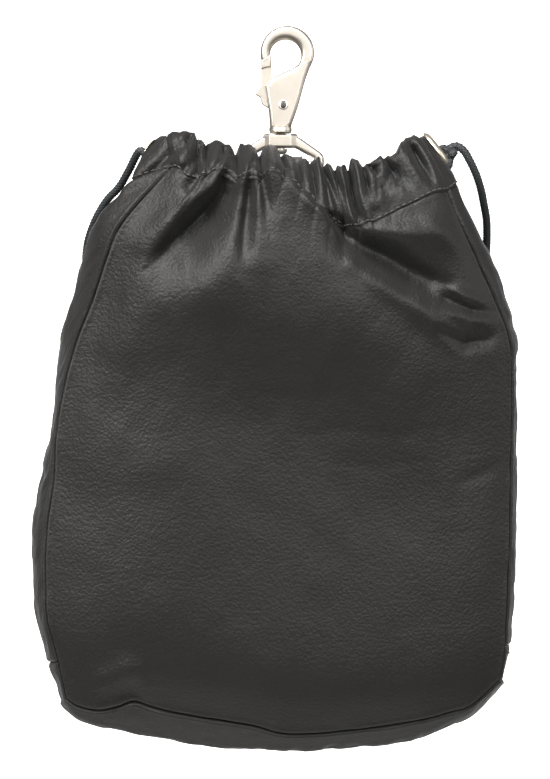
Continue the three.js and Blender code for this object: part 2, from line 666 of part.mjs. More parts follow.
// Turns at which the neck has points: four steps to a lobe, a few along a plain stretch
function neckTurns(from, to, fine) {
  const turns = [];
  LOBES.slice(0, -1).forEach((lobe, i) => {
    const end = LOBES[i + 1].turn;
    if (lobe.turn < from - 1e-9 || end > to + 1e-9) return;
    const steps = lobe.out > 0 ? fine : GUSSET_STEPS;
    for (let s = 0; s < steps; s += 1) turns.push(lobe.turn + (end - lobe.turn) * s / steps);
  });
  turns.push(to);
  return turns;
}

function hemSection(turn, rows) {
  const frame = hemFrame(turn);
  const fold = gather(turn);
  return rows.map(({ up, out }) => frame.foot.clone()
    .addScaledVector(frame.up, HEM_LIFT + up * (frame.height - HEM_LIFT) + fold.rise * up ** 2)
    .addScaledVector(frame.out, out * HEM_THICK + fold.out));
}

// Grommets: seat, axis and turn about the hem's frame
function grommetPlace(turn) {
  const frame = hemFrame(turn);
  const middle = frame.foot.clone().addScaledVector(frame.up, GROMMET_UP * frame.height);
  const face = middle.clone().addScaledVector(frame.out, HEM_OUTSIDE[1].out * HEM_THICK);
  return { face, out: frame.out, up: frame.up };
}

function onAxis(geometry, origin, axis) {
  const turn = new THREE.Quaternion().setFromUnitVectors(vec(0, 0, 1), axis);
  return geometry.applyQuaternion(turn).translate(origin.x, origin.y, origin.z);
}

function ringProfile(points, segments = 18) {
  const closed = [...points, points[0]];
  const geometry = new THREE.LatheGeometry(closed.map(([r, z]) => new THREE.Vector2(r, z)), segments);
  return geometry.rotateX(Math.PI / 2);
}

function disc(radius, bottom, top, segments = 18) {
  const geometry = new THREE.CylinderGeometry(radius, radius, top - bottom, segments);
  return geometry.rotateX(Math.PI / 2).translate(0, 0, (top + bottom) / 2);
}

const GROMMET_SEAT = GROMMET_DIAMETER / 2 + FIT_GAP;
const BARREL_RADIUS = GROMMET_BORE / 2 + GROMMET_WALL;
const SEAT_SINK = 0.5;
const PLY_DEPTH = 3;
const BARREL_DEPTH = PLY_DEPTH - 1;
const rightGrommet = grommetPlace((FRONT_END + RIGHT_END) / 2);
const leftGrommet = grommetPlace((BACK_END + 1) / 2);

function grommetCutter(place) {
  const seat = disc(GROMMET_SEAT, -SEAT_SINK, 2 * HEM_THICK);
  const hole = disc(BARREL_RADIUS + FIT_GAP, -PLY_DEPTH, 0);
  return onAxis(joined(seat, hole), place.face, place.out);
}

function grommetGeometry(place) {
  const low = -SEAT_SINK + FIT_GAP;
  const inner = GROMMET_BORE / 2;
  const outer = GROMMET_DIAMETER / 2;
  const profile = [
    [inner, -BARREL_DEPTH],
    [BARREL_RADIUS, -BARREL_DEPTH],
    [BARREL_RADIUS, low],
    [outer, low],
    [outer, low + 0.4 * GROMMET_FLANGE],
    [outer - 0.33 * (outer - inner), low + GROMMET_FLANGE],
    [inner + 0.25 * (outer - inner), low + GROMMET_FLANGE],
    [inner, low + 0.4 * GROMMET_FLANGE],
  ];
  return onAxis(ringProfile(profile), place.face, place.out);
}

// Hem with its tunnel and the two holes for the cord
function hemGeometry() {
  const turns = neckTurns(0, 1, 4).slice(0, -1);
  const body = sectionRing(turns.map((turn) => hemSection(turn, HEM_OUTSIDE)));
  const everySecond = turns.filter((_, i) => i % 2 === 0);
  const tunnel = sectionRing(everySecond.map((turn) => hemSection(turn, HEM_TUNNEL)));
  const seatThick = 2 * (TAB_LEATHER + FIT_GAP);
  const tabSeat = new THREE.BoxGeometry(TAB_WIDTH + 2 * FIT_GAP, seatThick, 2 * TAB_LENGTH);
  tabSeat.translate(NECK_SIDE, 0, -RING_BAR_DROP - TAB_LENGTH - FIT_GAP);
  return cut(body, tunnel, grommetCutter(rightGrommet), grommetCutter(leftGrommet), tabSeat);
}

// Leather sheets of the body
function panelSheet(face) {
  const from = face === 'front' ? 0 : RIGHT_END;
  const to = face === 'front' ? FRONT_END : BACK_END;
  const rows = PANEL_ROWS.map(({ down, fine }) => {
    let shares = Array.from({ length: PLAIN_STEPS + 1 }, (_, i) => i / PLAIN_STEPS);
    if (fine > 0) shares = neckTurns(from, to, fine).map((turn) => (turn - from) / (to - from));
    if (fine > 0 && face === 'back') shares = shares.map((share) => 1 - share).reverse();
    return shares.map((at) => ({ at, point: panelPoint(face, at, down) }));
  });
  return joinRows(rows, face === 'back');
}

function bandSheet(stations) {
  const shares = Array.from({ length: GUSSET_STEPS + 1 }, (_, i) => i / GUSSET_STEPS);
  const rows = stations.map((station) => shares.map((at) => ({ at, point: bandPoint(station, at) })));
  return joinRows(rows, true);
}

const stations = bandStations();
const joinIndex = PANEL_ROWS.findIndex((row) => row.down === SIDE_SEAM_JOIN);
const sheets = {
  front_panel: panelSheet('front'),
  back_panel: panelSheet('back'),
  left_gusset: bandSheet(stations.slice(0, joinIndex + 1)),
  base_strip: bandSheet(stations.slice(joinIndex, stations.length - joinIndex)),
  right_gusset: bandSheet(stations.slice(stations.length - joinIndex - 1)),
};
const directions = inwardDirections(Object.values(sheets));

// At the neck the leather's edge lies flat under the foot of the hem
const footDirections = new Map();
for (const turn of neckTurns(0, 1, 4)) {
  footDirections.set(pointKey(gatheredFoot(turn % 1)), hemFrame(turn % 1).out.multiplyScalar(-1));
}

// Cord pieces
function cordTube(points, steps) {
  const curve = new THREE.CatmullRomCurve3(points, false, 'centripetal');
  const radius = CORD_DIAMETER / 2;
  const outline = Array.from({ length: CORD_SIDES }, (_, i) => {
    const angle = 2 * Math.PI * i / CORD_SIDES;
    return new THREE.Vector2(radius * Math.cos(angle), radius * Math.sin(angle));
  });
  const shape = new THREE.Shape(outline);
  return new THREE.ExtrudeGeometry(shape, { steps, bevelEnabled: false, extrudePath: curve });
}

// The cord rests on the lower side of the grommet's bore
const BORE_REST = (GROMMET_BORE - CORD_DIAMETER) / 2 - FIT_GAP;
const KNOT_LEAD = 0.75 * CORD_DIAMETER;
const CORD_LEAD = 1.06 * CORD_DIAMETER;
const CORD_NEAR = 0.375 * CORD_DIAMETER;
const outsideHole = (place, reach) => place.face.clone().addScaledVector(place.out, reach)
  .addScaledVector(place.up, -BORE_REST);
const insideTunnel = (place) => outsideHole(place, -0.42 * HEM_THICK);

function knotGeometry() {
  const centre = fromBar(KNOT_CENTRE);
  const knot = new THREE.SphereGeometry(KNOT_RADIUS, 12, 8).scale(0.97, 1, 0.82);
  knot.translate(centre.x, centre.y, centre.z);
  const lead = cordTube([insideTunnel(rightGrommet), outsideHole(rightGrommet, KNOT_LEAD), centre], 4);
  const tail = cordTube([centre, ...TAIL_POINTS.map(fromBar)], 4);
  return joined(knot, lead, tail);
}

function drawcordGeometry() {
  const points = CORD_POINTS.map(fromBar);
  points.push(outsideHole(leftGrommet, CORD_LEAD));
  points.push(outsideHole(leftGrommet, CORD_NEAR));
  points.push(insideTunnel(leftGrommet));
  return cordTube(points, CORD_STEPS);
}

// Keeper tab: a strap folded round the ring's bar and sewn down the back of the hem
function tabGeometry() {
  const rim = TAB_EYE_RADIUS + TAB_LEATHER;
  const half = TAB_LEATHER + TAB_PLY_GAP;
  const outline = new THREE.Shape();
  const opening = Math.asin(half / rim);
  outline.absarc(0, 0, rim, -Math.PI / 2 + opening, 1.5 * Math.PI - opening, false);
  outline.lineTo(-half, -TAB_LENGTH);
  outline.lineTo(half, -TAB_LENGTH);
  outline.closePath();
  const hole = new THREE.Path();
  hole.absarc(0, 0, TAB_EYE_RADIUS, 0, 2 * Math.PI, true);
  outline.holes.push(hole);
  const strap = { depth: TAB_WIDTH, bevelEnabled: false, curveSegments: 16 };
  const geometry = new THREE.ExtrudeGeometry(outline, strap);
  geometry.translate(0, 0, -TAB_WIDTH / 2).rotateX(Math.PI / 2).rotateZ(Math.PI / 2);
  return geometry.translate(NECK_SIDE, 0, -RING_BAR_DROP);
}

// Flat plates stand in the XZ plane, with their thickness shared to both sides of Y = 0
function plate(shape, thick, bevel, segments = 7) {
  const geometry = new THREE.ExtrudeGeometry(shape, {
    depth: thick - 2 * bevel,
    bevelEnabled: bevel > 0,
    bevelThickness: bevel,
    bevelSize: bevel,
    bevelOffset: -bevel,
    bevelSegments: 2,
    curveSegments: segments,
  });
  return geometry.translate(0, 0, bevel - thick / 2).rotateX(Math.PI / 2);
}

// Hook body: arch, nose, cheeks and the swivel shank under its neck
const archX = 0.6;
const archZ = -ARCH_INNER_RADIUS;
const bodyFootZ = -BODY_LENGTH;
const neckLeft = NECK_SIDE - NECK_WIDTH / 2;
const neckRight = NECK_SIDE + NECK_WIDTH / 2;

function hookOutline() {
  const shape = new THREE.Shape();
  const outerX = archX + ARCH_SIDE_SHIFT;
  const rightInner = radians(RIGHT_INNER_ANGLE);
  shape.absarc(outerX, archZ + ARCH_RISE, ARCH_OUTER_RADIUS, radians(NOSE_OUTER_ANGLE),
    radians(RIGHT_OUTER_ANGLE), true);
  shape.quadraticCurveTo(outerX + 0.82 * ARCH_OUTER_RADIUS, archZ - 0.25 * BODY_LENGTH,
    neckRight + 0.32 * NECK_WIDTH, archZ - 0.42 * BODY_LENGTH);
  shape.quadraticCurveTo(neckRight + 0.18 * NECK_WIDTH, archZ - 0.65 * BODY_LENGTH,
    neckRight, bodyFootZ);
  shape.lineTo(neckLeft, bodyFootZ);
  shape.lineTo(neckLeft - 0.05 * NECK_WIDTH, -0.84 * BODY_LENGTH);
  shape.lineTo(neckLeft - 0.23 * NECK_WIDTH, -0.54 * BODY_LENGTH);
  shape.lineTo(neckLeft + 0.17 * NECK_WIDTH, -EYE_LENGTH);
  shape.quadraticCurveTo(archX + 0.56 * ARCH_INNER_RADIUS, -0.94 * EYE_LENGTH,
    archX + ARCH_INNER_RADIUS * Math.cos(rightInner), archZ + ARCH_INNER_RADIUS * Math.sin(rightInner));
  shape.absarc(archX, archZ, ARCH_INNER_RADIUS, rightInner, radians(NOSE_INNER_ANGLE), false);
  shape.closePath();
  return shape;
}

// Slot between the cheeks for the gate, open to the left
const slotFoot = -PIN_DROP - GATE_HUB_RADIUS - SLOT_ROOM;

function gateSlot() {
  const openSide = neckLeft - NECK_WIDTH;
  const outline = new THREE.Shape([
    new THREE.Vector2(openSide, slotFoot),
    new THREE.Vector2(PIN_SIDE - 0.8 * GATE_HUB_RADIUS, slotFoot),
    new THREE.Vector2(PIN_SIDE + 1.36 * GATE_HUB_RADIUS, slotFoot + 0.16 * GATE_HUB_RADIUS),
    new THREE.Vector2(PIN_SIDE + 2 * GATE_HUB_RADIUS, -0.36 * BODY_LENGTH),
    new THREE.Vector2(openSide, -0.4 * BODY_LENGTH),
  ]);
  return plate(outline, GATE_THICK + 2 * FIT_GAP, 0);
}

function pinHole() {
  return disc(PIN_RADIUS + FIT_GAP, -HOOK_THICK, HOOK_THICK, 16).rotateX(Math.PI / 2)
    .translate(PIN_SIDE, 0, -PIN_DROP);
}

function hookGeometry() {
  const collar = COLLAR_DIAMETER / 2;
  const shank = SHANK_DIAMETER / 2;
  const rivet = RIVET_DIAMETER / 2;
  const turned = new THREE.LatheGeometry([
    new THREE.Vector2(0, -RIVET_TOP - RIVET_THICK),
    new THREE.Vector2(0.6 * rivet, -RIVET_TOP - RIVET_THICK),
    new THREE.Vector2(rivet, -RIVET_TOP - 0.5 * RIVET_THICK),
    new THREE.Vector2(rivet, -RIVET_TOP),
    new THREE.Vector2(shank, -RIVET_TOP),
    new THREE.Vector2(shank, bodyFootZ - COLLAR_THICK),
    new THREE.Vector2(0.92 * collar, bodyFootZ - COLLAR_THICK),
    new THREE.Vector2(collar, bodyFootZ - 0.7 * COLLAR_THICK),
    new THREE.Vector2(collar, bodyFootZ - 0.2 * COLLAR_THICK),
    new THREE.Vector2(0.86 * collar, bodyFootZ),
    new THREE.Vector2(shank, bodyFootZ + SHANK_SINK),
    new THREE.Vector2(0, bodyFootZ + SHANK_SINK),
  ], 16).rotateX(Math.PI / 2).translate(NECK_SIDE, 0, 0);
  const body = plate(hookOutline(), HOOK_THICK, HOOK_BEVEL);
  return cut(joined(body, turned), gateSlot(), pinHole());
}

// Gate: a lever with a thumb tab, on the pin between the cheeks, closing on the nose
function gateGeometry() {
  const armLeft = archX - 1.49 * ARCH_INNER_RADIUS;
  const armRight = armLeft + GATE_ARM_WIDTH;
  const armTop = -0.614 * EYE_LENGTH;
  const leftTop = armTop - 0.06 * GATE_ARM_WIDTH;
  const rightTop = armTop + 0.35 * GATE_ARM_WIDTH;
  const outline = new THREE.Shape();
  outline.moveTo(armLeft, leftTop);
  outline.lineTo(armLeft + 0.03 * GATE_ARM_WIDTH, -0.53 * BODY_LENGTH);
  outline.lineTo(armLeft - 0.76 * GATE_ARM_WIDTH, -0.63 * BODY_LENGTH);
  outline.lineTo(armLeft - 0.5 * GATE_ARM_WIDTH, -0.69 * BODY_LENGTH);
  outline.lineTo(armLeft + 0.18 * GATE_ARM_WIDTH, -0.74 * BODY_LENGTH);
  outline.quadraticCurveTo(PIN_SIDE - 1.6 * GATE_HUB_RADIUS, -PIN_DROP - 1.04 * GATE_HUB_RADIUS,
    PIN_SIDE - 0.16 * GATE_HUB_RADIUS, -PIN_DROP - GATE_HUB_RADIUS);
  outline.absarc(PIN_SIDE, -PIN_DROP, GATE_HUB_RADIUS, -0.5 * Math.PI, 0.1 * Math.PI, false);
  outline.lineTo(armRight + 0.12 * GATE_ARM_WIDTH, -0.47 * BODY_LENGTH);
  outline.lineTo(armRight, rightTop);
  outline.closePath();
  const lever = plate(outline, GATE_THICK, GATE_BEVEL);
  const thick = new THREE.Shape();
  thick.moveTo(armLeft, leftTop);
  thick.lineTo(armLeft, -0.34 * BODY_LENGTH);
  thick.lineTo(armRight, -0.31 * BODY_LENGTH);
  thick.lineTo(armRight, rightTop);
  thick.closePath();
  const arm = joined(lever, plate(thick, GATE_ARM_THICK, GATE_ARM_BEVEL));
  return cut(arm, noseClearance(plate(hookOutline(), 1.2 * HOOK_THICK, 0)), pinHole());
}

// The arm's top is cut back from the nose by the fit gap
function noseClearance(nose) {
  const window = new THREE.BoxGeometry(2 * ARCH_OUTER_RADIUS, 4 * HOOK_THICK, 2 * ARCH_INNER_RADIUS);
  window.translate(-ARCH_OUTER_RADIUS, 0, archZ + 0.5 * ARCH_INNER_RADIUS);
  const solid = toSolid(nose).intersect(toSolid(window));
  const below = solid.translate([0, 0, -FIT_GAP]);
  const beside = solid.translate([FIT_GAP, 0, -FIT_GAP]);
  return toGeometry(solid.add(below).add(beside));
}

function pinGeometry() {
  const half = HOOK_THICK / 2;
  const profile = [
    new THREE.Vector2(0, -half - PIN_PROUD),
    new THREE.Vector2(0.7 * PIN_RADIUS, -half - PIN_PROUD),
    new THREE.Vector2(PIN_RADIUS, -half + PIN_PROUD),
    new THREE.Vector2(PIN_RADIUS, half - PIN_PROUD),
    new THREE.Vector2(0.7 * PIN_RADIUS, half + PIN_PROUD),
    new THREE.Vector2(0, half + PIN_PROUD),
  ];
  return new THREE.LatheGeometry(profile, 16).translate(PIN_SIDE, 0, -PIN_DROP);
}

// Swivel ring: a bored block on top, sloping arms, short sides and the bar for the tab
function ringGeometry() {
  const half = RING_WIDTH / 2;
  const top = bodyFootZ - COLLAR_THICK - FIT_GAP;
  const foot = -RING_BAR_DROP - RING_WIRE / 2;
  const shoulder = top - 0.5 * (top - foot);
  const armTop = top - 0.17 * BLOCK_HEIGHT;
  const armFoot = armTop - 1.3 * RING_WIRE;
  const at = (x, z) => new THREE.Vector2(NECK_SIDE + x, z);
  const outline = new THREE.Shape([
    at(-0.5 * BLOCK_WIDTH, armTop),
    at(-half, shoulder),
    at(-half, foot),
    at(half, foot),
    at(half, shoulder),
    at(0.5 * BLOCK_WIDTH, armTop),
  ]);
  const inner = half - RING_WIRE;
  outline.holes.push(new THREE.Path([
    at(-0.4 * BLOCK_WIDTH, armFoot),
    at(0.4 * BLOCK_WIDTH, armFoot),
    at(inner, shoulder - 0.5 * RING_WIRE),
    at(inner, foot + RING_WIRE),
    at(-inner, foot + RING_WIRE),
    at(-inner, shoulder - 0.5 * RING_WIRE),
  ]));
  const frame = plate(outline, RING_WIRE, RING_BEVEL);
  const block = new THREE.Shape([
    at(-BLOCK_WIDTH / 2, top - BLOCK_HEIGHT),
    at(BLOCK_WIDTH / 2, top - BLOCK_HEIGHT),
    at(BLOCK_WIDTH / 2, top),
    at(-BLOCK_WIDTH / 2, top),
  ]);
  const bore = disc(SHANK_DIAMETER / 2 + FIT_GAP, top - 2 * BLOCK_HEIGHT, top + BLOCK_HEIGHT, 20)
    .translate(NECK_SIDE, 0, 0);
  const rivetRoom = disc(RIVET_DIAMETER / 2 + FIT_GAP, top - 2 * BLOCK_HEIGHT, top - BLOCK_HEIGHT, 20)
    .translate(NECK_SIDE, 0, 0);
  return cut(joined(frame, plate(block, BLOCK_THICK, BLOCK_BEVEL)), bore, rivetRoom);
}

// Scene graph
const pouch = new THREE.Group();
const addMesh = (group, name, geometry, material) => {
  const mesh = new THREE.Mesh(geometry, material);
  mesh.name = name;
  group.add(mesh);
};

for (const [name, sheet] of Object.entries(sheets)) {
  const inward = sheet.points.map((point) => footDirections.get(pointKey(point))
    ?? directions.get(pointKey(point)));
  addMesh(pouch, name, leatherWall(sheet, inward), leather.clone());
}
addMesh(pouch, 'hem_casing', hemGeometry(), leather.clone());
addMesh(pouch, 'keeper_tab', tabGeometry(), leatherEdge);
addMesh(pouch, 'right_grommet', grommetGeometry(rightGrommet), paleBrass);
addMesh(pouch, 'left_grommet', grommetGeometry(leftGrommet), paleBrass.clone());
addMesh(pouch, 'cord_knot', knotGeometry(), braid);
addMesh(pouch, 'drawcord', drawcordGeometry(), braid.clone());

const hook = new THREE.Group();
addMesh(hook, 'hook_body', hookGeometry(), nickel);
addMesh(hook, 'gate', gateGeometry(), nickel.clone());
addMesh(hook, 'gate_pin', pinGeometry(), nickel.clone());
addMesh(hook, 'swivel_ring', ringGeometry(), nickel.clone());

const root = new THREE.Group();
root.add(pouch, hook);
export default root;
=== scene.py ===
import logging
import math
from dataclasses import dataclass, field
from enum import Enum
from typing import NamedTuple

import bmesh
import bpy
import numpy as np
from mathutils import Matrix, Vector


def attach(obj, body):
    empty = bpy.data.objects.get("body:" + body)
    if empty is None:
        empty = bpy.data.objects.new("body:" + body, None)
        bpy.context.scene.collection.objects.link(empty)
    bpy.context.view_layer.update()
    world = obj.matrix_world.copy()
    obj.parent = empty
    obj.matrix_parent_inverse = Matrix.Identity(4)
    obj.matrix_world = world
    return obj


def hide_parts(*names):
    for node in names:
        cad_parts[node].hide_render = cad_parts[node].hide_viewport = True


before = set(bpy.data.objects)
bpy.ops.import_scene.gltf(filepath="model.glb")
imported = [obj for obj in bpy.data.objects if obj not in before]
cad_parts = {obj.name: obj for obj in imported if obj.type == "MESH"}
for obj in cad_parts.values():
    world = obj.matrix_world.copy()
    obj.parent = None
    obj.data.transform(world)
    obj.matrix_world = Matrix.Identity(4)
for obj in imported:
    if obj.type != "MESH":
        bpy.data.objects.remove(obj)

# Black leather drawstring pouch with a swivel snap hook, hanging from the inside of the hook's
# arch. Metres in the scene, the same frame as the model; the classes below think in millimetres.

log = logging.getLogger("pouch")
Array = np.ndarray
MM = 0.001


class Body(Enum):
    """The bodies of the frame that pieces ride on."""

    HOOK = "hook"
    GATE = "gate"
    RING = "ring"
    POUCH = "pouch"


class Slot(Enum):
    """Names of the material slots."""

    LEATHER = "pouch_leather"
    TAB = "tab_leather"
    NICKEL = "satin_nickel"
    GROMMET = "pale_grommet"
    CORD = "black_cord"


class Face(Enum):
    """The two broad faces of the pouch."""

    FRONT = "front"
    BACK = "back"


class Side(Enum):
    """The two narrow sides of the pouch."""

    LEFT = "left"
    RIGHT = "right"


# Small tools

def linear(colour: str) -> tuple[float, float, float, float]:
    """Turns an sRGB hex colour into Blender's linear colour.

    Args:
        colour: six hex digits after a hash sign.

    Returns:
        Linear red, green, blue and alpha.
    """
    values = (int(colour[i:i + 2], 16) / 255 for i in (1, 3, 5))
    steps = [v / 12.92 if v <= 0.04045 else ((v + 0.055) / 1.055) ** 2.4 for v in values]
    return steps[0], steps[1], steps[2], 1.0


def add_node(tree: bpy.types.NodeTree, kind: str, sockets: dict | None = None, **settings) -> bpy.types.Node:
    """Adds one node with its settings, values and links.

    Args:
        tree: the node tree that gets the node.
        kind: Blender's name of the node type.
        sockets: input name or number to a value, or to the output socket it is linked from.
        **settings: attributes of the node.

    Returns:
        The new node.
    """
    node = tree.nodes.new(kind)
    for name, value in settings.items():
        setattr(node, name, value)
    for key, value in (sockets or {}).items():
        if isinstance(value, bpy.types.NodeSocket):
            tree.links.new(value, node.inputs[key])
        else:
            node.inputs[key].default_value = value
    return node


def ease(t: Array) -> Array:
    """Smooth step from 0 to 1."""
    s = np.clip(t, 0.0, 1.0)
    return s * s * (3 - 2 * s)


def unit(v: Array) -> Array:
    """The same directions with a length of one."""
    return v / np.maximum(np.linalg.norm(v, axis=-1, keepdims=True), 1e-12)


def rumple(x: Array, y: Array, size: float, seed: int, octaves: int = 1) -> Array:
    """Smooth random bumps over a plane.

    Args:
        x: first coordinate in mm.
        y: second coordinate in mm.
        size: spacing of the bumps in mm.
        seed: number that fixes the pattern.
        octaves: how many finer layers are added, each half as strong.

    Returns:
        Values from about -1 to 1.
    """
    total = np.zeros(np.broadcast(x, y).shape)
    strength, reach = 1.0, 0.0
    for octave in range(octaves):
        lattice = np.random.default_rng(seed + 101 * octave).uniform(-1, 1, (64, 64))
        u, v = x / size * 2 ** octave, y / size * 2 ** octave
        i, j = np.floor(u).astype(int), np.floor(v).astype(int)
        a, b = u - i, v - j
        a, b = a ** 3 * (a * (6 * a - 15) + 10), b ** 3 * (b * (6 * b - 15) + 10)
        low = lattice[i % 64, j % 64] * (1 - a) + lattice[(i + 1) % 64, j % 64] * a
        high = lattice[i % 64, (j + 1) % 64] * (1 - a) + lattice[(i + 1) % 64, (j + 1) % 64] * a
        total += strength * (low * (1 - b) + high * b)
        reach += strength
        strength *= 0.5
    return total / reach


def surface_normals(grid: Array) -> Array:
    """Unit normals of a grid of points, towards row direction cross column direction."""
    along = np.gradient(grid, axis=1)
    down = np.gradient(grid, axis=0)
    return unit(np.cross(down, along))


def distances_from_ends(grid: Array, axis: int) -> tuple[Array, Array]:
    """Lengths along one axis of a grid from its first and from its last line of points."""
    steps = np.linalg.norm(np.diff(grid, axis=axis), axis=-1)
    run = np.cumsum(steps, axis=axis)
    pad = [(0, 0), (0, 0)]
    pad[axis] = (1, 0)
    run = np.pad(run, pad)
    last = run[-1:, :] if axis == 0 else run[:, -1:]
    return run, last - run


class Track:
    """Smooth value between the rows of a table, along one of its columns."""

    def __init__(self, rows: tuple, key: str, column: str, period: float = 0.0) -> None:
        """Takes a table, its key column, the column to read and the key's period, if any."""
        keys = np.array([getattr(row, key) for row in rows])
        values = np.array([getattr(row, column) for row in rows])
        if period:
            keys = np.concatenate([keys[-2:] - period, keys, keys[:2] + period])
            values = np.concatenate([values[-2:], values, values[:2]])
        else:
            keys = np.concatenate([keys[:1], keys, keys[-1:]])
            values = np.concatenate([values[:1], values, values[-1:]])
        reach = keys[2:] - keys[:-2]
        self.period = period
        self.keys = keys[1:-1]
        self.values = values[1:-1]
        self.slopes = (values[2:] - values[:-2]) / reach

    def __call__(self, at: Array) -> Array:
        """Value at each key in at."""
        at = np.asarray(at, float)
        if self.period:
            at = at % self.period
        i = np.clip(np.searchsorted(self.keys, at, side="right") - 1, 0, len(self.keys) - 2)
        span = self.keys[i + 1] - self.keys[i]
        t = np.clip((at - self.keys[i]) / span, 0, 1)
        return (self.values[i] * (2 * t ** 3 - 3 * t ** 2 + 1) + self.values[i + 1] * (3 * t ** 2 - 2 * t ** 3)
                + span * (self.slopes[i] * (t ** 3 - 2 * t ** 2 + t) + self.slopes[i + 1] * (t ** 3 - t ** 2)))


# Meshes

def new_object(name: str, points: Array, faces: list, smooth: bool = True) -> bpy.types.Object:
    """Makes an object at the origin from points in mm.

    Args:
        name: the piece's name.
        points: one row of x, y and z for each point.
        faces: lists or an array of point numbers.
        smooth: whether the faces are shaded smooth.

    Returns:
        The object, linked to the scene.
    """
    mesh = bpy.data.meshes.new(name)
    mesh.from_pydata((np.asarray(points) * MM).tolist(), [], np.asarray(faces).tolist()
                     if isinstance(faces, np.ndarray) else faces)
    if smooth:
        mesh.shade_smooth()
    piece = bpy.data.objects.new(name, mesh)
    bpy.context.scene.collection.objects.link(piece)
    return piece


def face_outwards(piece: bpy.types.Object, merge: float = 0.0) -> None:
    """Turns the faces of a closed mesh outwards, after merging its doubles if merge is given in mm."""
    work = bmesh.new()
    work.from_mesh(piece.data)
    if merge:
        bmesh.ops.remove_doubles(work, verts=work.verts, dist=merge * MM)
    bmesh.ops.recalc_face_normals(work, faces=work.faces)
    work.to_mesh(piece.data)
    work.free()


def baked(piece: bpy.types.Object) -> bpy.types.Object:
    """Replaces a piece by the plain mesh that its modifiers give, and returns it."""
    dg = bpy.context.evaluated_depsgraph_get()
    name = piece.name
    mesh = bpy.data.meshes.new_from_object(piece.evaluated_get(dg), depsgraph=dg)
    bpy.data.objects.remove(piece)
    mesh.name = name
    plain = bpy.data.objects.new(name, mesh)
    bpy.context.scene.collection.objects.link(plain)
    return plain


def grid_faces(rows: int, columns: int, start: int = 0, wrap: bool = False) -> Array:
    """Quads of a grid of points, optionally closed across its columns."""
    i, j = np.meshgrid(np.arange(rows - 1), np.arange(columns if wrap else columns - 1), indexing="ij")
    k = (j + 1) % columns
    quads = np.stack([i * columns + j, i * columns + k, (i + 1) * columns + k, (i + 1) * columns + j], -1)
    return quads.reshape(-1, 4) + start


def add_values(piece: bpy.types.Object, name: str, values: Array) -> None:
    """Stores one number for each point of a piece, for its material to read."""
    layer = piece.data.attributes.new(name, "FLOAT", "POINT")
    layer.data.foreach_set("value", np.ascontiguousarray(values, np.float32).ravel())


def swept_tube(path: Array, radius: Array, sides: int, closed: bool = False,
               start: Array | None = None) -> Array:
    """Rings of points round a path, without twist.

    Args:
        path: points in mm, evenly spaced.
        radius: radius in mm for each ring and side, or one number.
        sides: number of points in a ring.
        closed: whether the path is a loop.
        start: a direction for the first point of the first ring.

    Returns:
        Points as rings, sides and coordinates.
    """
    count = len(path)
    tangents = unit(np.gradient(path, axis=0))
    if closed:
        tangents = unit(np.roll(path, -1, 0) - np.roll(path, 1, 0))
    across = np.array([0.0, 1.0, 0.0]) if start is None else start
    across = unit(across - tangents[0] * np.dot(across, tangents[0]))
    frames = np.zeros((count, 3))
    for i in range(count):
        across = unit(across - tangents[i] * np.dot(across, tangents[i]))
        frames[i] = across
    other = np.cross(tangents, frames)
    angles = 2 * np.pi * np.arange(sides) / sides
    ring = np.cos(angles)[None, :, None] * frames[:, None] + np.sin(angles)[None, :, None] * other[:, None]
    radius = np.broadcast_to(np.asarray(radius, float), (count, sides))
    return path[:, None] + ring * radius[..., None]


def tube_faces(rings: int, sides: int, closed: bool = False) -> list:
    """Quads of a tube and, where it isn't a loop, its two end caps."""
    faces = grid_faces(rings, sides, wrap=True).tolist()
    if closed:
        last = (rings - 1) * sides
        faces += [[last + j, last + (j + 1) % sides, (j + 1) % sides, j] for j in range(sides)]
    else:
        faces.append(list(range(sides)))
        faces.append([(rings - 1) * sides + j for j in reversed(range(sides))])
    return faces


def smooth_route(points: Array, spacing: float) -> Array:
    """Even points, spacing mm apart, along a centripetal curve through given ones."""
    p = np.vstack([2 * points[0] - points[1], points, 2 * points[-1] - points[-2]])
    fine = []
    for i in range(1, len(p) - 2):
        x0, x1, x2, x3 = p[i - 1], p[i], p[i + 1], p[i + 2]
        d0, d1, d2 = (np.sqrt(np.linalg.norm(b - a)) for a, b in ((x0, x1), (x1, x2), (x2, x3)))
        t1 = ((x1 - x0) / d0 - (x2 - x0) / (d0 + d1) + (x2 - x1) / d1) * d1
        t2 = ((x2 - x1) / d1 - (x3 - x1) / (d1 + d2) + (x3 - x2) / d2) * d1
        t = np.linspace(0, 1, 40, endpoint=False)[:, None]
        fine.append(x1 + t1 * t + (3 * (x2 - x1) - 2 * t1 - t2) * t ** 2 + (2 * (x1 - x2) + t1 + t2) * t ** 3)
    fine.append(points[-1:])
    fine = np.vstack(fine)
    run = np.concatenate([[0], np.cumsum(np.linalg.norm(np.diff(fine, axis=0), axis=1))])
    steps = np.linspace(0, run[-1], int(round(run[-1] / spacing)) + 1)
    return np.stack([np.interp(steps, run, fine[:, k]) for k in range(3)], axis=1)


# Tables of the pouch's shape: drops are shares of its height, left, right and X shares of its
# width, front, back and Y shares of its depth.

class SideRow(NamedTuple):
    """The four corner seams at one drop, and how far the gussets bow out past them."""

    drop: float
    left: float
    right: float
    left_bow: float
    right_bow: float
    front: float
    back: float


class HemRow(NamedTuple):
    """The bottom seam at a share of the way across, and the sag of the base strip under it."""

    across: float
    drop: float
    sag: float


class NeckRow(NamedTuple):
    """The stitched foot and the folded rim of the casing at one turn of the neck."""

    turn: float
    foot_x: float
    foot_y: float
    foot_drop: float
    rim_x: float
    rim_y: float
    rim_drop: float


class Lobe(NamedTuple):
    """One gather of the casing, from its turn to the next one's."""

    turn: float
    out: float
    rise: float


class SwellRow(NamedTuple):
    """How far the panels swell, by the share of the way down."""

    down: float
    front: float
    back: float


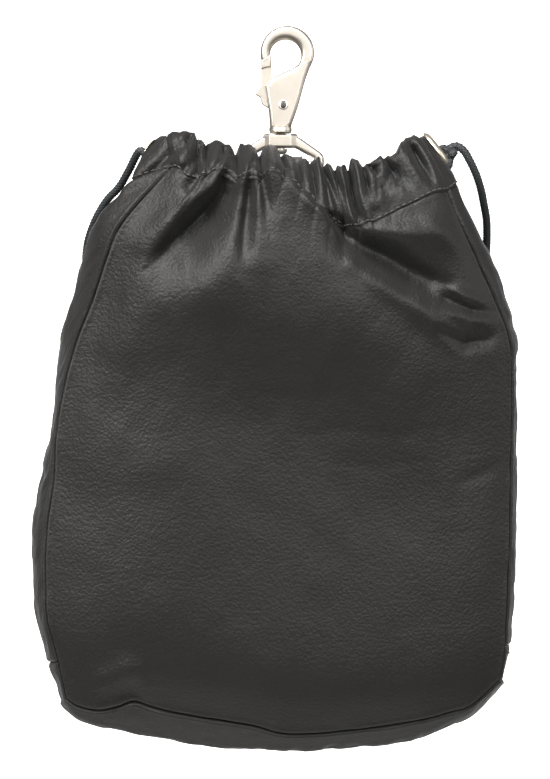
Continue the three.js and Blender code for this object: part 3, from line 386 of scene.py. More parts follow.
class SectionPoint(NamedTuple):
    """A point of the casing's section: shares of its height and of its thickness."""

    up: float
    out: float


class FoldPoint(NamedTuple):
    """A point on the line of a fold: place, half width and depth into the pouch, in mm."""

    x: float
    z: float
    width: float
    depth: float


SIDE_ROWS = (
    SideRow(0.027, -0.175, 0.337, 0.050, 0.025, -0.423, -0.179),
    SideRow(0.108, -0.270, 0.362, 0.050, 0.029, -0.417, -0.096),
    SideRow(0.157, -0.319, 0.386, 0.046, 0.027, -0.417, -0.010),
    SideRow(0.209, -0.346, 0.415, 0.045, 0.023, -0.386, 0.089),
    SideRow(0.270, -0.372, 0.449, 0.045, 0.017, -0.346, 0.192),
    SideRow(0.335, -0.405, 0.479, 0.037, 0.010, -0.306, 0.286),
    SideRow(0.400, -0.429, 0.484, 0.031, 0.012, -0.276, 0.352),
    SideRow(0.481, -0.448, 0.483, 0.029, 0.014, -0.253, 0.404),
    SideRow(0.562, -0.454, 0.481, 0.035, 0.017, -0.236, 0.444),
    SideRow(0.642, -0.468, 0.480, 0.031, 0.016, -0.223, 0.469),
    SideRow(0.723, -0.471, 0.476, 0.029, 0.018, -0.210, 0.476),
    SideRow(0.788, -0.467, 0.473, 0.025, 0.016, -0.196, 0.471),
    SideRow(0.845, -0.448, 0.468, 0.025, 0.014, -0.176, 0.454),
    SideRow(0.918, -0.429, 0.452, 0.012, 0.006, -0.153, 0.420),
)

HEM_ROWS = (
    HemRow(0.000, 0.913, 0.015),
    HemRow(0.028, 0.926, 0.023),
    HemRow(0.074, 0.933, 0.030),
    HemRow(0.120, 0.927, 0.043),
    HemRow(0.159, 0.918, 0.058),
    HemRow(0.194, 0.926, 0.054),
    HemRow(0.253, 0.936, 0.051),
    HemRow(0.345, 0.947, 0.049),
    HemRow(0.432, 0.957, 0.044),
    HemRow(0.492, 0.969, 0.033),
    HemRow(0.568, 0.970, 0.031),
    HemRow(0.722, 0.959, 0.033),
    HemRow(0.816, 0.948, 0.033),
    HemRow(0.874, 0.938, 0.026),
    HemRow(0.931, 0.925, 0.020),
    HemRow(1.000, 0.883, 0.013),
)

NECK_ROWS = (
    NeckRow(0.000, -0.212, -0.423, 0.060, -0.220, -0.308, 0.008),
    NeckRow(0.035, -0.173, -0.487, 0.082, -0.179, -0.333, 0.008),
    NeckRow(0.080, -0.122, -0.526, 0.073, -0.126, -0.321, 0.021),
    NeckRow(0.125, -0.061, -0.551, 0.082, -0.067, -0.321, 0.034),
    NeckRow(0.175, 0.001, -0.564, 0.079, -0.007, -0.321, 0.038),
    NeckRow(0.220, 0.063, -0.571, 0.108, 0.052, -0.359, 0.047),
    NeckRow(0.270, 0.136, -0.577, 0.156, 0.116, -0.462, 0.057),
    NeckRow(0.315, 0.194, -0.571, 0.150, 0.173, -0.462, 0.050),
    NeckRow(0.360, 0.251, -0.551, 0.128, 0.235, -0.423, 0.035),
    NeckRow(0.395, 0.317, -0.513, 0.104, 0.280, -0.359, 0.010),
    NeckRow(0.420, 0.348, -0.436, 0.097, 0.286, -0.321, 0.004),
    NeckRow(0.440, 0.367, -0.359, 0.086, 0.290, -0.279, 0.003),
    NeckRow(0.480, 0.367, -0.160, 0.086, 0.290, -0.141, 0.003),
    NeckRow(0.500, 0.354, -0.090, 0.100, 0.281, -0.077, 0.010),
    NeckRow(0.560, 0.306, -0.055, 0.131, 0.255, -0.055, 0.034),
    NeckRow(0.640, 0.190, -0.050, 0.160, 0.150, -0.050, 0.066),
    NeckRow(0.690, 0.080, -0.039, 0.168, 0.075, -0.039, 0.072),
    NeckRow(0.770, -0.050, -0.039, 0.168, -0.050, -0.039, 0.072),
    NeckRow(0.820, -0.134, -0.060, 0.144, -0.125, -0.060, 0.052),
    NeckRow(0.880, -0.225, -0.085, 0.108, -0.183, -0.085, 0.026),
    NeckRow(0.920, -0.268, -0.154, 0.086, -0.212, -0.154, 0.012),
    NeckRow(0.950, -0.282, -0.256, 0.080, -0.226, -0.210, 0.010),
    NeckRow(0.980, -0.286, -0.359, 0.076, -0.233, -0.282, 0.010),
)

LOBES = (
    Lobe(0.000, 0.9, 1.0),
    Lobe(0.052, 0.5, 0.3),
    Lobe(0.067, 0.9, 0.8),
    Lobe(0.113, 1.0, 1.0),
    Lobe(0.153, 1.0, 1.0),
    Lobe(0.187, 0.7, 0.5),
    Lobe(0.212, 0.6, 0.4),
    Lobe(0.233, 0.6, 0.4),
    Lobe(0.254, 0.5, 0.3),
    Lobe(0.273, 0.6, 0.5),
    Lobe(0.294, 0.5, 0.5),
    Lobe(0.318, 0.14, 0.2),
    Lobe(0.346, 0.1, 0.2),
    Lobe(0.376, 0.25, 0.3),
    Lobe(0.420, 0.0, 0.0),
    Lobe(0.500, 0.8, 0.5),
    Lobe(0.545, 0.7, 0.5),
    Lobe(0.590, 0.8, 0.5),
    Lobe(0.635, 0.6, 0.5),
    Lobe(0.680, 0.0, 0.0),
    Lobe(0.780, 0.6, 0.5),
    Lobe(0.825, 0.8, 0.5),
    Lobe(0.870, 0.7, 0.5),
    Lobe(0.920, 0.0, 0.0),
    Lobe(1.000, 0.0, 0.0),
)

SWELL_ROWS = (
    SwellRow(0.00, 0.000, 0.000),
    SwellRow(0.20, 0.030, 0.035),
    SwellRow(0.50, 0.070, 0.090),
    SwellRow(0.80, 0.115, 0.125),
    SwellRow(0.92, 0.100, 0.105),
    SwellRow(1.00, 0.000, 0.000),
)

HEM_OUTSIDE = (
    SectionPoint(0.00, 0.00),
    SectionPoint(0.20, 0.15),
    SectionPoint(0.80, 0.15),
    SectionPoint(0.96, -0.04),
    SectionPoint(1.00, -0.30),
    SectionPoint(0.95, -0.60),
    SectionPoint(0.78, -0.83),
    SectionPoint(0.50, -0.85),
    SectionPoint(0.22, -0.70),
    SectionPoint(0.00, -0.42),
)

# Free run of the cord, from inside the knot, down behind the pouch and up to the left grommet, in mm
KNOT_CENTRE = (63.6, -18.0, -45.2)
TAIL_POINTS = ((63.9, -19.2, -48.0), (63.2, -20.3, -51.0))
CORD_POINTS = (
    (64.3, -18, -42.9),
    (66.8, -18, -42.2),
    (69.4, -18.2, -43.9),
    (71.8, -17.8, -47.8),
    (74.2, -16, -52.7),
    (76.2, -13, -58.4),
    (77.6, -8.8, -64.4),
    (78.8, -3.6, -70.20),
    (79.2, 2.7, -77.40),
    (78.8, 9.2, -86.00),
    (76.4, 18.4, -98.00),
    (70.4, 26.7, -113.00),
    (60.4, 33.5, -129.00),
    (46.4, 39.1, -144.00),
    (29.0, 42.7, -155.00),
    (9.8, 44.7, -161.00),
    (-9.8, 45.3, -161.60),
    (-29.0, 44.3, -157.00),
    (-46.4, 41.3, -147.00),
    (-60.6, 36.4, -132.00),
    (-70.6, 28.2, -115.00),
    (-76.0, 18.5, -99.00),
    (-77.6, 10.7, -87.00),
    (-76.6, 4.8, -78.40),
    (-73.4, -0.6, -70.00),
    (-69.0, -4.6, -62.80),
    (-64.0, -8.6, -57.60),
    (-60.4, -12.6, -51.80),
)


@dataclass(frozen=True)
class Fold:
    """A valley, or a ridge where its depth is below zero, along a line on the front or back.
    Where it leans, the wall on its right, looking along its line, is the steeper."""

    name: str
    points: tuple
    lean: float = 0.0

    def depth_at(self, x: Array, z: Array) -> Array:
        """Depth of the fold at places on the face, in mm."""
        best = np.zeros(x.shape)
        rows = [FoldPoint(*p) for p in self.points]
        for a, b in zip(rows[:-1], rows[1:]):
            dx, dz = b.x - a.x, b.z - a.z
            share = np.clip(((x - a.x) * dx + (z - a.z) * dz) / (dx * dx + dz * dz), 0, 1)
            distance = np.hypot(x - a.x - share * dx, z - a.z - share * dz)
            side = np.sign((x - a.x) * dz - (z - a.z) * dx)
            width = (a.width + (b.width - a.width) * share) * (1 - self.lean * side)
            depth = a.depth + (b.depth - a.depth) * share
            value = depth * np.exp(-(distance / width) ** 2)
            best = np.where(np.abs(value) > np.abs(best), value, best)
        return best


@dataclass(frozen=True)
class Overlap:
    """An edge of leather that lies over a hollow: high on one side of its line, low on the other."""

    line: tuple
    high: float
    low: float
    high_reach: float
    low_reach: float

    def depth_at(self, x: Array, z: Array) -> Array:
        """Depth beside the line, in mm, into the pouch where it is positive."""
        line = np.array(self.line)
        nearest = np.full(x.shape, 1e9)
        value = np.zeros(x.shape)
        total = len(line) - 1
        for i, (a, b) in enumerate(zip(line[:-1], line[1:])):
            d = b - a
            share = ((x - a[0]) * d[0] + (z - a[1]) * d[1]) / (d @ d)
            held = np.clip(share, 0, 1)
            distance = np.hypot(x - a[0] - held * d[0], z - a[1] - held * d[1])
            side = np.sign((x - a[0]) * d[1] - (z - a[1]) * d[0])
            along = (i + held) / total
            strength = ease(along / 0.35) * ease((1 - along) / 0.25)
            past = np.where((share < 0) & (i == 0) | (share > 1) & (i == total - 1), 0.0, 1.0)
            high = -self.high * np.exp(-distance / self.high_reach)
            low = self.low * np.exp(-((distance - 1.2) / self.low_reach) ** 2)
            blend = 0.5 + 0.5 * np.tanh(side * distance / 0.9)
            here = strength * past * (high * blend + low * (1 - blend))
            closer = distance < nearest
            value = np.where(closer, here, value)
            nearest = np.where(closer, distance, nearest)
        return value


# Folds of the front, each along a line of points with a half width and a depth
FRONT_FOLDS = (
    Fold("big left valley", (
        (-19.6, -44.6, 3, 2.6), (-21.4, -52.2, 3.6, 4.6), (-24.8, -61.2, 5, 8.2),
        (-30.3, -68.4, 6.6, 10), (-37, -75.3, 6.8, 8.6), (-43.8, -81.5, 5.6, 5),
        (-50.4, -87.1, 3.4, 1),
    ), 0.42),
    Fold("shoulder under the big valley", (
        (-9, -72, 8, -1.8), (-16, -86, 11, -3.8), (-28, -97, 12, -4.2),
        (-43, -103, 11, -2),
    )),
    Fold("shoulder over the big valley", (
        (-30, -58, 3.4, -1.4), (-37.6, -64.4, 3.8, -2.6), (-44.6, -71.5, 4.2, -2.6),
        (-52, -80.5, 5, -1),
    )),
    Fold("second valley", (
        (-12.3, -49.2, 1.7, 2.4), (-13.1, -58.7, 2.3, 4.2), (-14, -69.5, 3.2, 5.2),
        (-15.2, -80, 3.8, 4.2), (-15.8, -90.5, 4, 1),
    ), 0.25),
    Fold("third valley", (
        (-9.4, -46.9, 1.4, 2.6), (-8.1, -56.1, 1.8, 3.6), (-6.8, -64.7, 2.4, 3.4),
        (-6.2, -75.4, 3.4, 1.4),
    ), 0.1),
    Fold("ridge between them", (
        (-10.8, -58.0, 2.0, -0.9), (-10.4, -68.3, 2.4, -0.6),
    )),
    Fold("fourth valley", (
        (-1.2, -46.9, 1.2, 2.2), (1.1, -52.2, 1.5, 1.4), (5.7, -58.4, 2, 0.5),
    )),
    Fold("hollow", (
        (19.5, -71.1, 3.6, 4), (25.2, -78, 5.4, 8), (36.1, -84.3, 7.4, 9.4),
        (48, -90.8, 7.4, 8), (60.7, -97, 5.4, 3.4),
    ), -0.3),
    Fold("puff", (
        (30.5, -77, 3.4, -2.2), (43, -76.4, 5, -4), (59.7, -76, 6, -3.8),
        (68.1, -80, 5, -1.4),
    )),
    Fold("lower ridge", (
        (27, -88.2, 4.4, -2), (38.2, -95.3, 5, -3.4), (49.7, -103.1, 5.2, -3.6),
        (59.7, -111.3, 5, -3.2), (66.6, -117, 4, -1.4),
    )),
    Fold("crease under the ridge", (
        (60.1, -113.6, 2.4, 1.4), (68.9, -118.6, 2.6, 3), (78.5, -117, 2.6, 2.6),
        (85, -113.2, 2.4, 1.2),
    )),
    Fold("shiny wrinkle one", (
        (60, -97.4, 2.8, -1.4), (70, -101, 3.2, -2.8), (81.9, -103.3, 2.8, -2),
    )),
    Fold("shiny wrinkle two", (
        (58.9, -104.9, 2.2, -1), (71.2, -109.9, 2.6, -2.2), (82.7, -109.9, 2.4, -1.6),
    )),
    Fold("dent between them", (
        (62.3, -101.5, 1.8, 1.2), (72.2, -105.5, 2, 2), (82.7, -106.6, 1.8, 1.6),
    )),
    Fold("puckered pit", (
        (-38.7, -54.1, 1.5, 0.9), (-36.1, -58.4, 2.4, 2.4), (-33.4, -56.1, 1.6, 0.9),
    )),
    Fold("mouth of the curl", (
        (33.0, -48.6, 1.0, 2.0), (35.3, -51.4, 1.3, 3.6), (38.0, -50.8, 1.0, 1.2),
    )),
    Fold("curl", (
        (38.6, -46.6, 1.0, 1.6), (41.6, -50.8, 1.4, 3.4), (44.0, -54.7, 1.5, 2.8),
        (47.5, -57.8, 1.4, 0.8),
    )),
    Fold("under the curl", (
        (40.6, -53.0, 1.1, 1.4), (39.4, -56.2, 1.3, 2.8), (37.0, -58.7, 1.4, 3.2),
        (33.7, -58.0, 1.4, 2.4), (30.5, -56.2, 1.2, 0.6),
    )),
    Fold("beside the gathers", (
        (25.1, -50.0, 1.2, 2.2), (26.2, -55.4, 1.5, 3.2), (25.8, -62.0, 1.6, 3.0),
        (28.2, -67.8, 1.6, 3.2), (31.2, -72.8, 1.5, 1.4),
    )),
    Fold("small fold one", (
        (14.5, -49.2, 1.3, 2.6), (17.6, -56.1, 1.5, 3.0), (19.9, -63.7, 1.7, 2.6),
        (21.8, -72.1, 2.0, 1.4),
    )),
    Fold("small fold two", (
        (19.1, -50.3, 1.1, 2.2), (21.8, -58.0, 1.3, 2.3), (23.7, -65.6, 1.5, 1.7),
        (24.8, -74.4, 1.6, 0.9),
    )),
    Fold("small fold three", (
        (24.1, -50.3, 1.3, 2.4), (25.6, -58.0, 1.6, 2.8), (27.1, -65.6, 1.9, 2.2),
        (28.3, -72.9, 2.1, 1.0),
    )),
    Fold("small fold four", (
        (29.8, -48.0, 1.2, 1.6), (31.4, -56.1, 1.6, 2.0), (30.6, -64.5, 2.1, 1.4),
    )),
    Fold("right casing fold", (
        (50.0, -43.0, 1.5, 2.6), (52.9, -49.2, 1.9, 3.2), (55.6, -54.3, 1.8, 2.0),
        (57.2, -57.8, 1.5, 0.6),
    )),
    Fold("rolled end of the casing", (
        (44.0, -44.4, 2.6, -1.4), (48.6, -50.6, 2.6, -1.8), (53.0, -57.2, 2.4, -0.8),
    )),
    Fold("bulge under the curl", (
        (30.0, -62.5, 3.0, -1.6), (34.5, -64.0, 3.4, -1.8), (39.5, -62.0, 3.0, -0.8),
    )),
    Fold("left casing fold one", (
        (-36.8, -38.8, 1.2, 1.8), (-42.9, -45.0, 1.5, 2.3), (-48.3, -50.3, 1.8, 2.1),
        (-52.9, -55.7, 1.8, 1.2),
    )),
    Fold("left casing fold two", (
        (-32.2, -40.7, 1.2, 1.8), (-33.8, -47.3, 1.6, 2.4), (-38.0, -51.8, 1.8, 2.2),
        (-41.0, -54.5, 1.5, 1.0),
    )),
    Fold("left casing fold three", (
        (-29.9, -42.7, 1.2, 2.0), (-30.7, -48.0, 1.5, 2.4), (-33.8, -53.0, 1.7, 1.8),
        (-35.3, -56.1, 1.6, 1.0),
    )),
    Fold("left casing fold four", (
        (-23.0, -43.0, 1.2, 2.2), (-24.2, -48.4, 1.5, 2.6), (-27.2, -54.1, 1.8, 2.2),
        (-30.3, -58.7, 2.0, 1.2),
    )),
    Fold("bump in the corner", (
        (-67.5, -248.7, 5.5, -1.8), (-60.6, -246.0, 6.5, -2.6), (-56.0, -251.4, 5, -1.2),
    )),
    Fold("dent over the pucker", (
        (-59.8, -256.0, 4.5, 1.6), (-56.4, -252.5, 3.6, 0.8),
    )),
    Fold("side hollow", (
        (-59.8, -85.9, 6, 0.8), (-66.7, -102.0, 8, 1.4), (-73.6, -121.2, 9, 1.0),
    )),
    Fold("side ridge", (
        (-51.4, -96.3, 8, -0.8), (-59.8, -117.3, 10, -1.0),
    )),
    Fold("upper belly", (
        (-45, -112, 24, -2.2), (-8, -106, 27, -6.4), (20, -112, 26, -6.4),
        (42, -128, 24, -4),
    )),
    Fold("left belly", (
        (-40, -125, 28, -2.6), (-42, -165, 32, -4.2), (-44, -210, 30, -2.8),
    )),
    Fold("middle crease", (
        (6.1, -154.1, 2.6, 0.12), (23.3, -151.8, 3, 0.2), (43.6, -154.1, 3.2, 0.18),
        (59.7, -151.0, 2.6, 0.1),
    )),
    Fold("upper crease", (
        (-8.5, -137.3, 2.4, 0.1), (9.9, -139.6, 2.8, 0.16), (27.5, -137.3, 2.6, 0.14),
        (45.1, -139.6, 2.4, 0.1),
    )),
    Fold("lower crease", (
        (17.6, -164.1, 2.4, 0.1), (33.7, -166.4, 2.8, 0.16), (52.0, -164.1, 2.4, 0.12),
    )),
    Fold("right side crease", (
        (69.7, -171.7, 2.6, 0.3), (78.8, -167.9, 2.8, 0.6), (87.3, -163.3, 2.4, 0.5),
    )),
)

# The edge of leather from the middle of the neck down over the deep hollow on the right
FRONT_OVERLAP = Overlap(
    line=((-1.6, -53.0), (6.1, -59.9), (11.8, -64.9), (18.3, -71.8), (21.8, -77.9), (26.4, -82.9)),
    high=1.7, low=2.6, high_reach=9.0, low_reach=6.0,
)

# The edge of leather from the middle of the neck down over the deep hollow on the right
FRONT_OVERLAP = Overlap(
    line=((-1.6, -53.0), (6.1, -59.9), (11.8, -64.9), (18.3, -71.8), (21.8, -77.9), (26.4, -82.9)),
    high=1.7, low=2.6, high_reach=9.0, low_reach=6.0,
)

# Folds of the back, in the same columns
BACK_FOLDS = (
    Fold("left back fold", (
        (-26.0, -68.0, 3.0, 1.2), (-31.0, -82.0, 4.4, 2.7), (-38.0, -98.0, 4.6, 2.2), (-46.0, -114.0, 4.4, 0.5),
    )),
    Fold("middle back fold", (
        (2.0, -78.0, 2.6, 1.0), (0.5, -92.0, 3.8, 2.3), (-1.0, -108.0, 4.2, 1.8), (-2.0, -124.0, 4.6, 0.4),
    )),
    Fold("right back fold", (
        (27.0, -72.0, 3.0, 1.2), (32.0, -86.0, 4.4, 2.7), (39.0, -100.0, 4.6, 2.2), (46.0, -116.0, 4.4, 0.5),
    )),
    Fold("small back fold one", (
        (-12.0, -78.0, 2.0, 1.2), (-15.0, -92.0, 3.0, 1.2), (-19.0, -104.0, 3.6, 0.3),
    )),
    Fold("small back fold two", (
        (14.0, -78.0, 2.0, 1.3), (17.0, -92.0, 3.0, 1.3), (21.0, -106.0, 3.6, 0.3),
    )),
    Fold("back side hollow", (
        (-68.0, -120.0, 8.0, 0.8), (-76.0, -150.0, 11.0, 1.4), (-78.0, -185.0, 10.0, 0.6),
    )),
    Fold("back middle crease", (
        (-40.0, -172.0, 1.6, 0.2), (-14.0, -176.0, 1.8, 0.4), (18.0, -173.0, 1.6, 0.2),
    )),
    Fold("back corner dent", ((60.0, -240.0, 6.0, 0.8), (72.0, -228.0, 6.0, 0.8))),
)



@dataclass(frozen=True)
class PouchForm:
    """The shape of the pouch, in mm: seams, panels, gussets and casing, all from the tables."""

    width: float = 190.0
    height: float = 241.0
    depth: float = 78.0
    side_shift: float = -3.3
    crown_below_hook: float = 36.3
    hem_thick: float = 7.6
    hem_lift: float = 0.4
    gather_out: float = 3.4
    gather_rise: float = 3.4
    gather_reach: float = 8.0
    front_end: float = 0.42
    right_end: float = 0.50
    back_end: float = 0.92
    band_settle: float = 0.16

    def place_x(self, share: Array) -> Array:
        """Side place of a share of the width."""
        return self.side_shift + share * self.width

    def place_z(self, drop: Array) -> Array:
        """Height of a drop."""
        return -self.crown_below_hook - drop * self.height

    def neck(self, turn: Array) -> tuple[Array, Array]:
        """Foot and rim of the casing at each turn, without its gathers."""
        read = {name: Track(NECK_ROWS, "turn", name, 1.0)(turn)
                for name in ("foot_x", "foot_y", "foot_drop", "rim_x", "rim_y", "rim_drop")}
        foot = np.stack([self.place_x(read["foot_x"]), self.depth * read["foot_y"],
                         self.place_z(read["foot_drop"])], -1)
        rim = np.stack([self.place_x(read["rim_x"]), self.depth * read["rim_y"],
                        self.place_z(read["rim_drop"])], -1)
        return foot, rim

    def hem_frame(self, turn: Array) -> tuple[Array, Array, Array, Array]:
        """Foot, height, direction up the casing and direction outwards at each turn."""
        step = 0.004
        foot, rim = self.neck(turn)
        foot_ahead, rim_ahead = self.neck(turn + step)
        foot_behind, rim_behind = self.neck(turn - step)
        along = unit(foot_ahead - foot_behind + rim_ahead - rim_behind)
        rise = rim - foot
        tall = np.linalg.norm(rise, axis=-1)
        up = unit(rise)
        return foot, tall, up, unit(np.cross(along, up))

    def gather(self, turn: Array, sharp: float = 1.0) -> tuple[Array, Array]:
        """How far the gathers stand out and how much their rim rises at each turn."""
        starts = np.array([lobe.turn for lobe in LOBES])
        at = np.clip(turn % 1.0, 0, 0.999999)
        i = np.clip(np.searchsorted(starts, at, side="right") - 1, 0, len(LOBES) - 2)
        share = (at - starts[i]) / (starts[i + 1] - starts[i])
        hump = np.sin(np.pi * np.clip(share, 0, 1)) ** sharp
        out = np.array([lobe.out for lobe in LOBES])[i]
        rise = np.array([lobe.rise for lobe in LOBES])[i]
        return self.gather_out * out * hump, self.gather_rise * rise * hump

    def seam(self, side: Side, face: Face, down: Array) -> Array:
        """Corner seam at each share of the way down."""
        turns = {(Side.LEFT, Face.FRONT): 0.0, (Side.LEFT, Face.BACK): self.back_end,
                 (Side.RIGHT, Face.FRONT): self.front_end, (Side.RIGHT, Face.BACK): self.right_end}
        start = self.neck(np.array(turns[side, face]))[0]
        start_drop = (-self.crown_below_hook - start[2]) / self.height
        end_drop = HEM_ROWS[0].drop if side is Side.LEFT else HEM_ROWS[-1].drop

        def at(drop: Array) -> Array:
            """Places on the seam at shares of the drop."""
            return np.stack([self.place_x(Track(SIDE_ROWS, "drop", side.value)(drop)),
                             self.depth * Track(SIDE_ROWS, "drop", face.value)(drop), self.place_z(drop)], -1)

        down = np.asarray(down, float)
        miss = start - at(np.asarray(start_drop))
        return at(start_drop + (end_drop - start_drop) * down) + miss * (1 - down)[..., None] ** 6

    def hem_seam(self, face: Face, across: Array) -> Array:
        """Bottom seam at each share of the way across."""
        left = self.seam(Side.LEFT, face, np.array(1.0))
        right = self.seam(Side.RIGHT, face, np.array(1.0))
        point = left + (right - left) * across[..., None]
        point[..., 2] = self.place_z(Track(HEM_ROWS, "across", "drop")(across))
        point[..., 1] += (-1 if face is Face.FRONT else 1) * 0.05 * self.depth * np.sin(np.pi * across)
        return point

    def panel(self, face: Face, across: Array, down: Array) -> Array:
        """Grid of points of the front or back panel, before its folds: rows down, columns across."""
        if face is Face.FRONT:
            turn, side = across * self.front_end, -1
        else:
            turn, side = self.back_end + (self.right_end - self.back_end) * across, 1
        top, bottom = self.neck(turn)[0], self.hem_seam(face, across)
        left, right = self.seam(Side.LEFT, face, down), self.seam(Side.RIGHT, face, down)
        u, v = across[None, :, None], down[:, None, None]
        grid = (1 - v) * top[None] + v * bottom[None] + (1 - u) * left[:, None] + u * right[:, None]
        grid = grid - (1 - u) * (1 - v) * top[0] - u * (1 - v) * top[-1] - (1 - u) * v * bottom[0] \
            - u * v * bottom[-1]
        crown = 1 - np.abs(2 * across - 1) ** 3
        grid[..., 1] += side * self.depth * crown[None] * Track(SWELL_ROWS, "down", face.value)(down)[:, None]
        out = self.hem_frame(turn)[3]
        fade = np.exp(-down * self.height / self.gather_reach)
        return grid + out[None] * (self.gather(turn, 0.8)[0][None] * fade[:, None])[..., None]

    def band(self, place: Array, deep: Array) -> Array:
        """Grid of points of the gusset band: rows along its path, columns from front to back.

        Args:
            place: path place, 0 to 1 down the left side, to 2 across the bottom, to 3 up the right.
            deep: shares of the way from the front seam to the back seam.

        Returns:
            The grid of points.
        """
        fronts, backs, bows = self.band_rails(place)
        dense = np.linspace(0, 3, 1201)
        rail = self.band_rails(dense)[0]
        run = np.concatenate([[0], np.cumsum(np.linalg.norm(np.diff(rail, axis=0), axis=1))])
        at = np.interp(place, dense, run)
        reach = 9.0
        ahead = np.stack([np.interp(at + reach, run, rail[:, k]) for k in range(3)], -1)
        behind = np.stack([np.interp(at - reach, run, rail[:, k]) for k in range(3)], -1)
        along = ahead - behind
        outward = unit(np.stack([along[:, 2], np.zeros(len(place)), -along[:, 0]], -1))
        grid = fronts[:, None] + (backs - fronts)[:, None] * deep[None, :, None]
        down = np.where(place <= 1, place, np.where(place >= 2, 3 - place, 1.0))
        settled = ease(down / self.band_settle)
        for near, start, end in ((place < 1, 1.0, self.back_end), (place > 2, self.front_end, self.right_end)):
            foot = self.neck(start + (end - start) * deep)[0]
            chord = foot[0] + (foot[-1] - foot[0]) * deep[:, None]
            pull = np.where(near, 1 - settled, 0.0)
            grid = grid + (foot - chord)[None] * pull[:, None, None]
        swell = np.sin(np.pi * deep) ** 0.8
        return grid + outward[:, None] * (settled * bows)[:, None, None] * swell[None, :, None]

    def band_rails(self, place: Array) -> tuple[Array, Array, Array]:
        """Front seam, back seam and bow of the gusset band at each path place."""
        left, right = np.clip(place, 0, 1), np.clip(3 - place, 0, 1)
        across = np.clip(place - 1, 0, 1)
        bow_drop = HEM_ROWS[0].drop
        rails = []
        for face in Face:
            rail = np.where((place <= 1)[:, None], self.seam(Side.LEFT, face, left),
                            np.where((place >= 2)[:, None], self.seam(Side.RIGHT, face, right),
                                     self.hem_seam(face, across)))
            rails.append(rail)
        bows = np.where(place <= 1, self.width * Track(SIDE_ROWS, "drop", "left_bow")(left * bow_drop),
                        np.where(place >= 2,
                                 self.width * Track(SIDE_ROWS, "drop", "right_bow")(right * bow_drop),
                                 self.height * Track(HEM_ROWS, "across", "sag")(across)))
        return rails[0], rails[1], bows

    def grommet_place(self, turn: float) -> tuple[Array, Array, Array]:
        """Middle of a grommet's seat, its axis outwards and the direction up the casing."""
        foot, tall, up, out = self.hem_frame(np.array(turn))
        return foot + up * 0.62 * tall + out * HEM_OUTSIDE[1].out * self.hem_thick, out, up


# Finishes

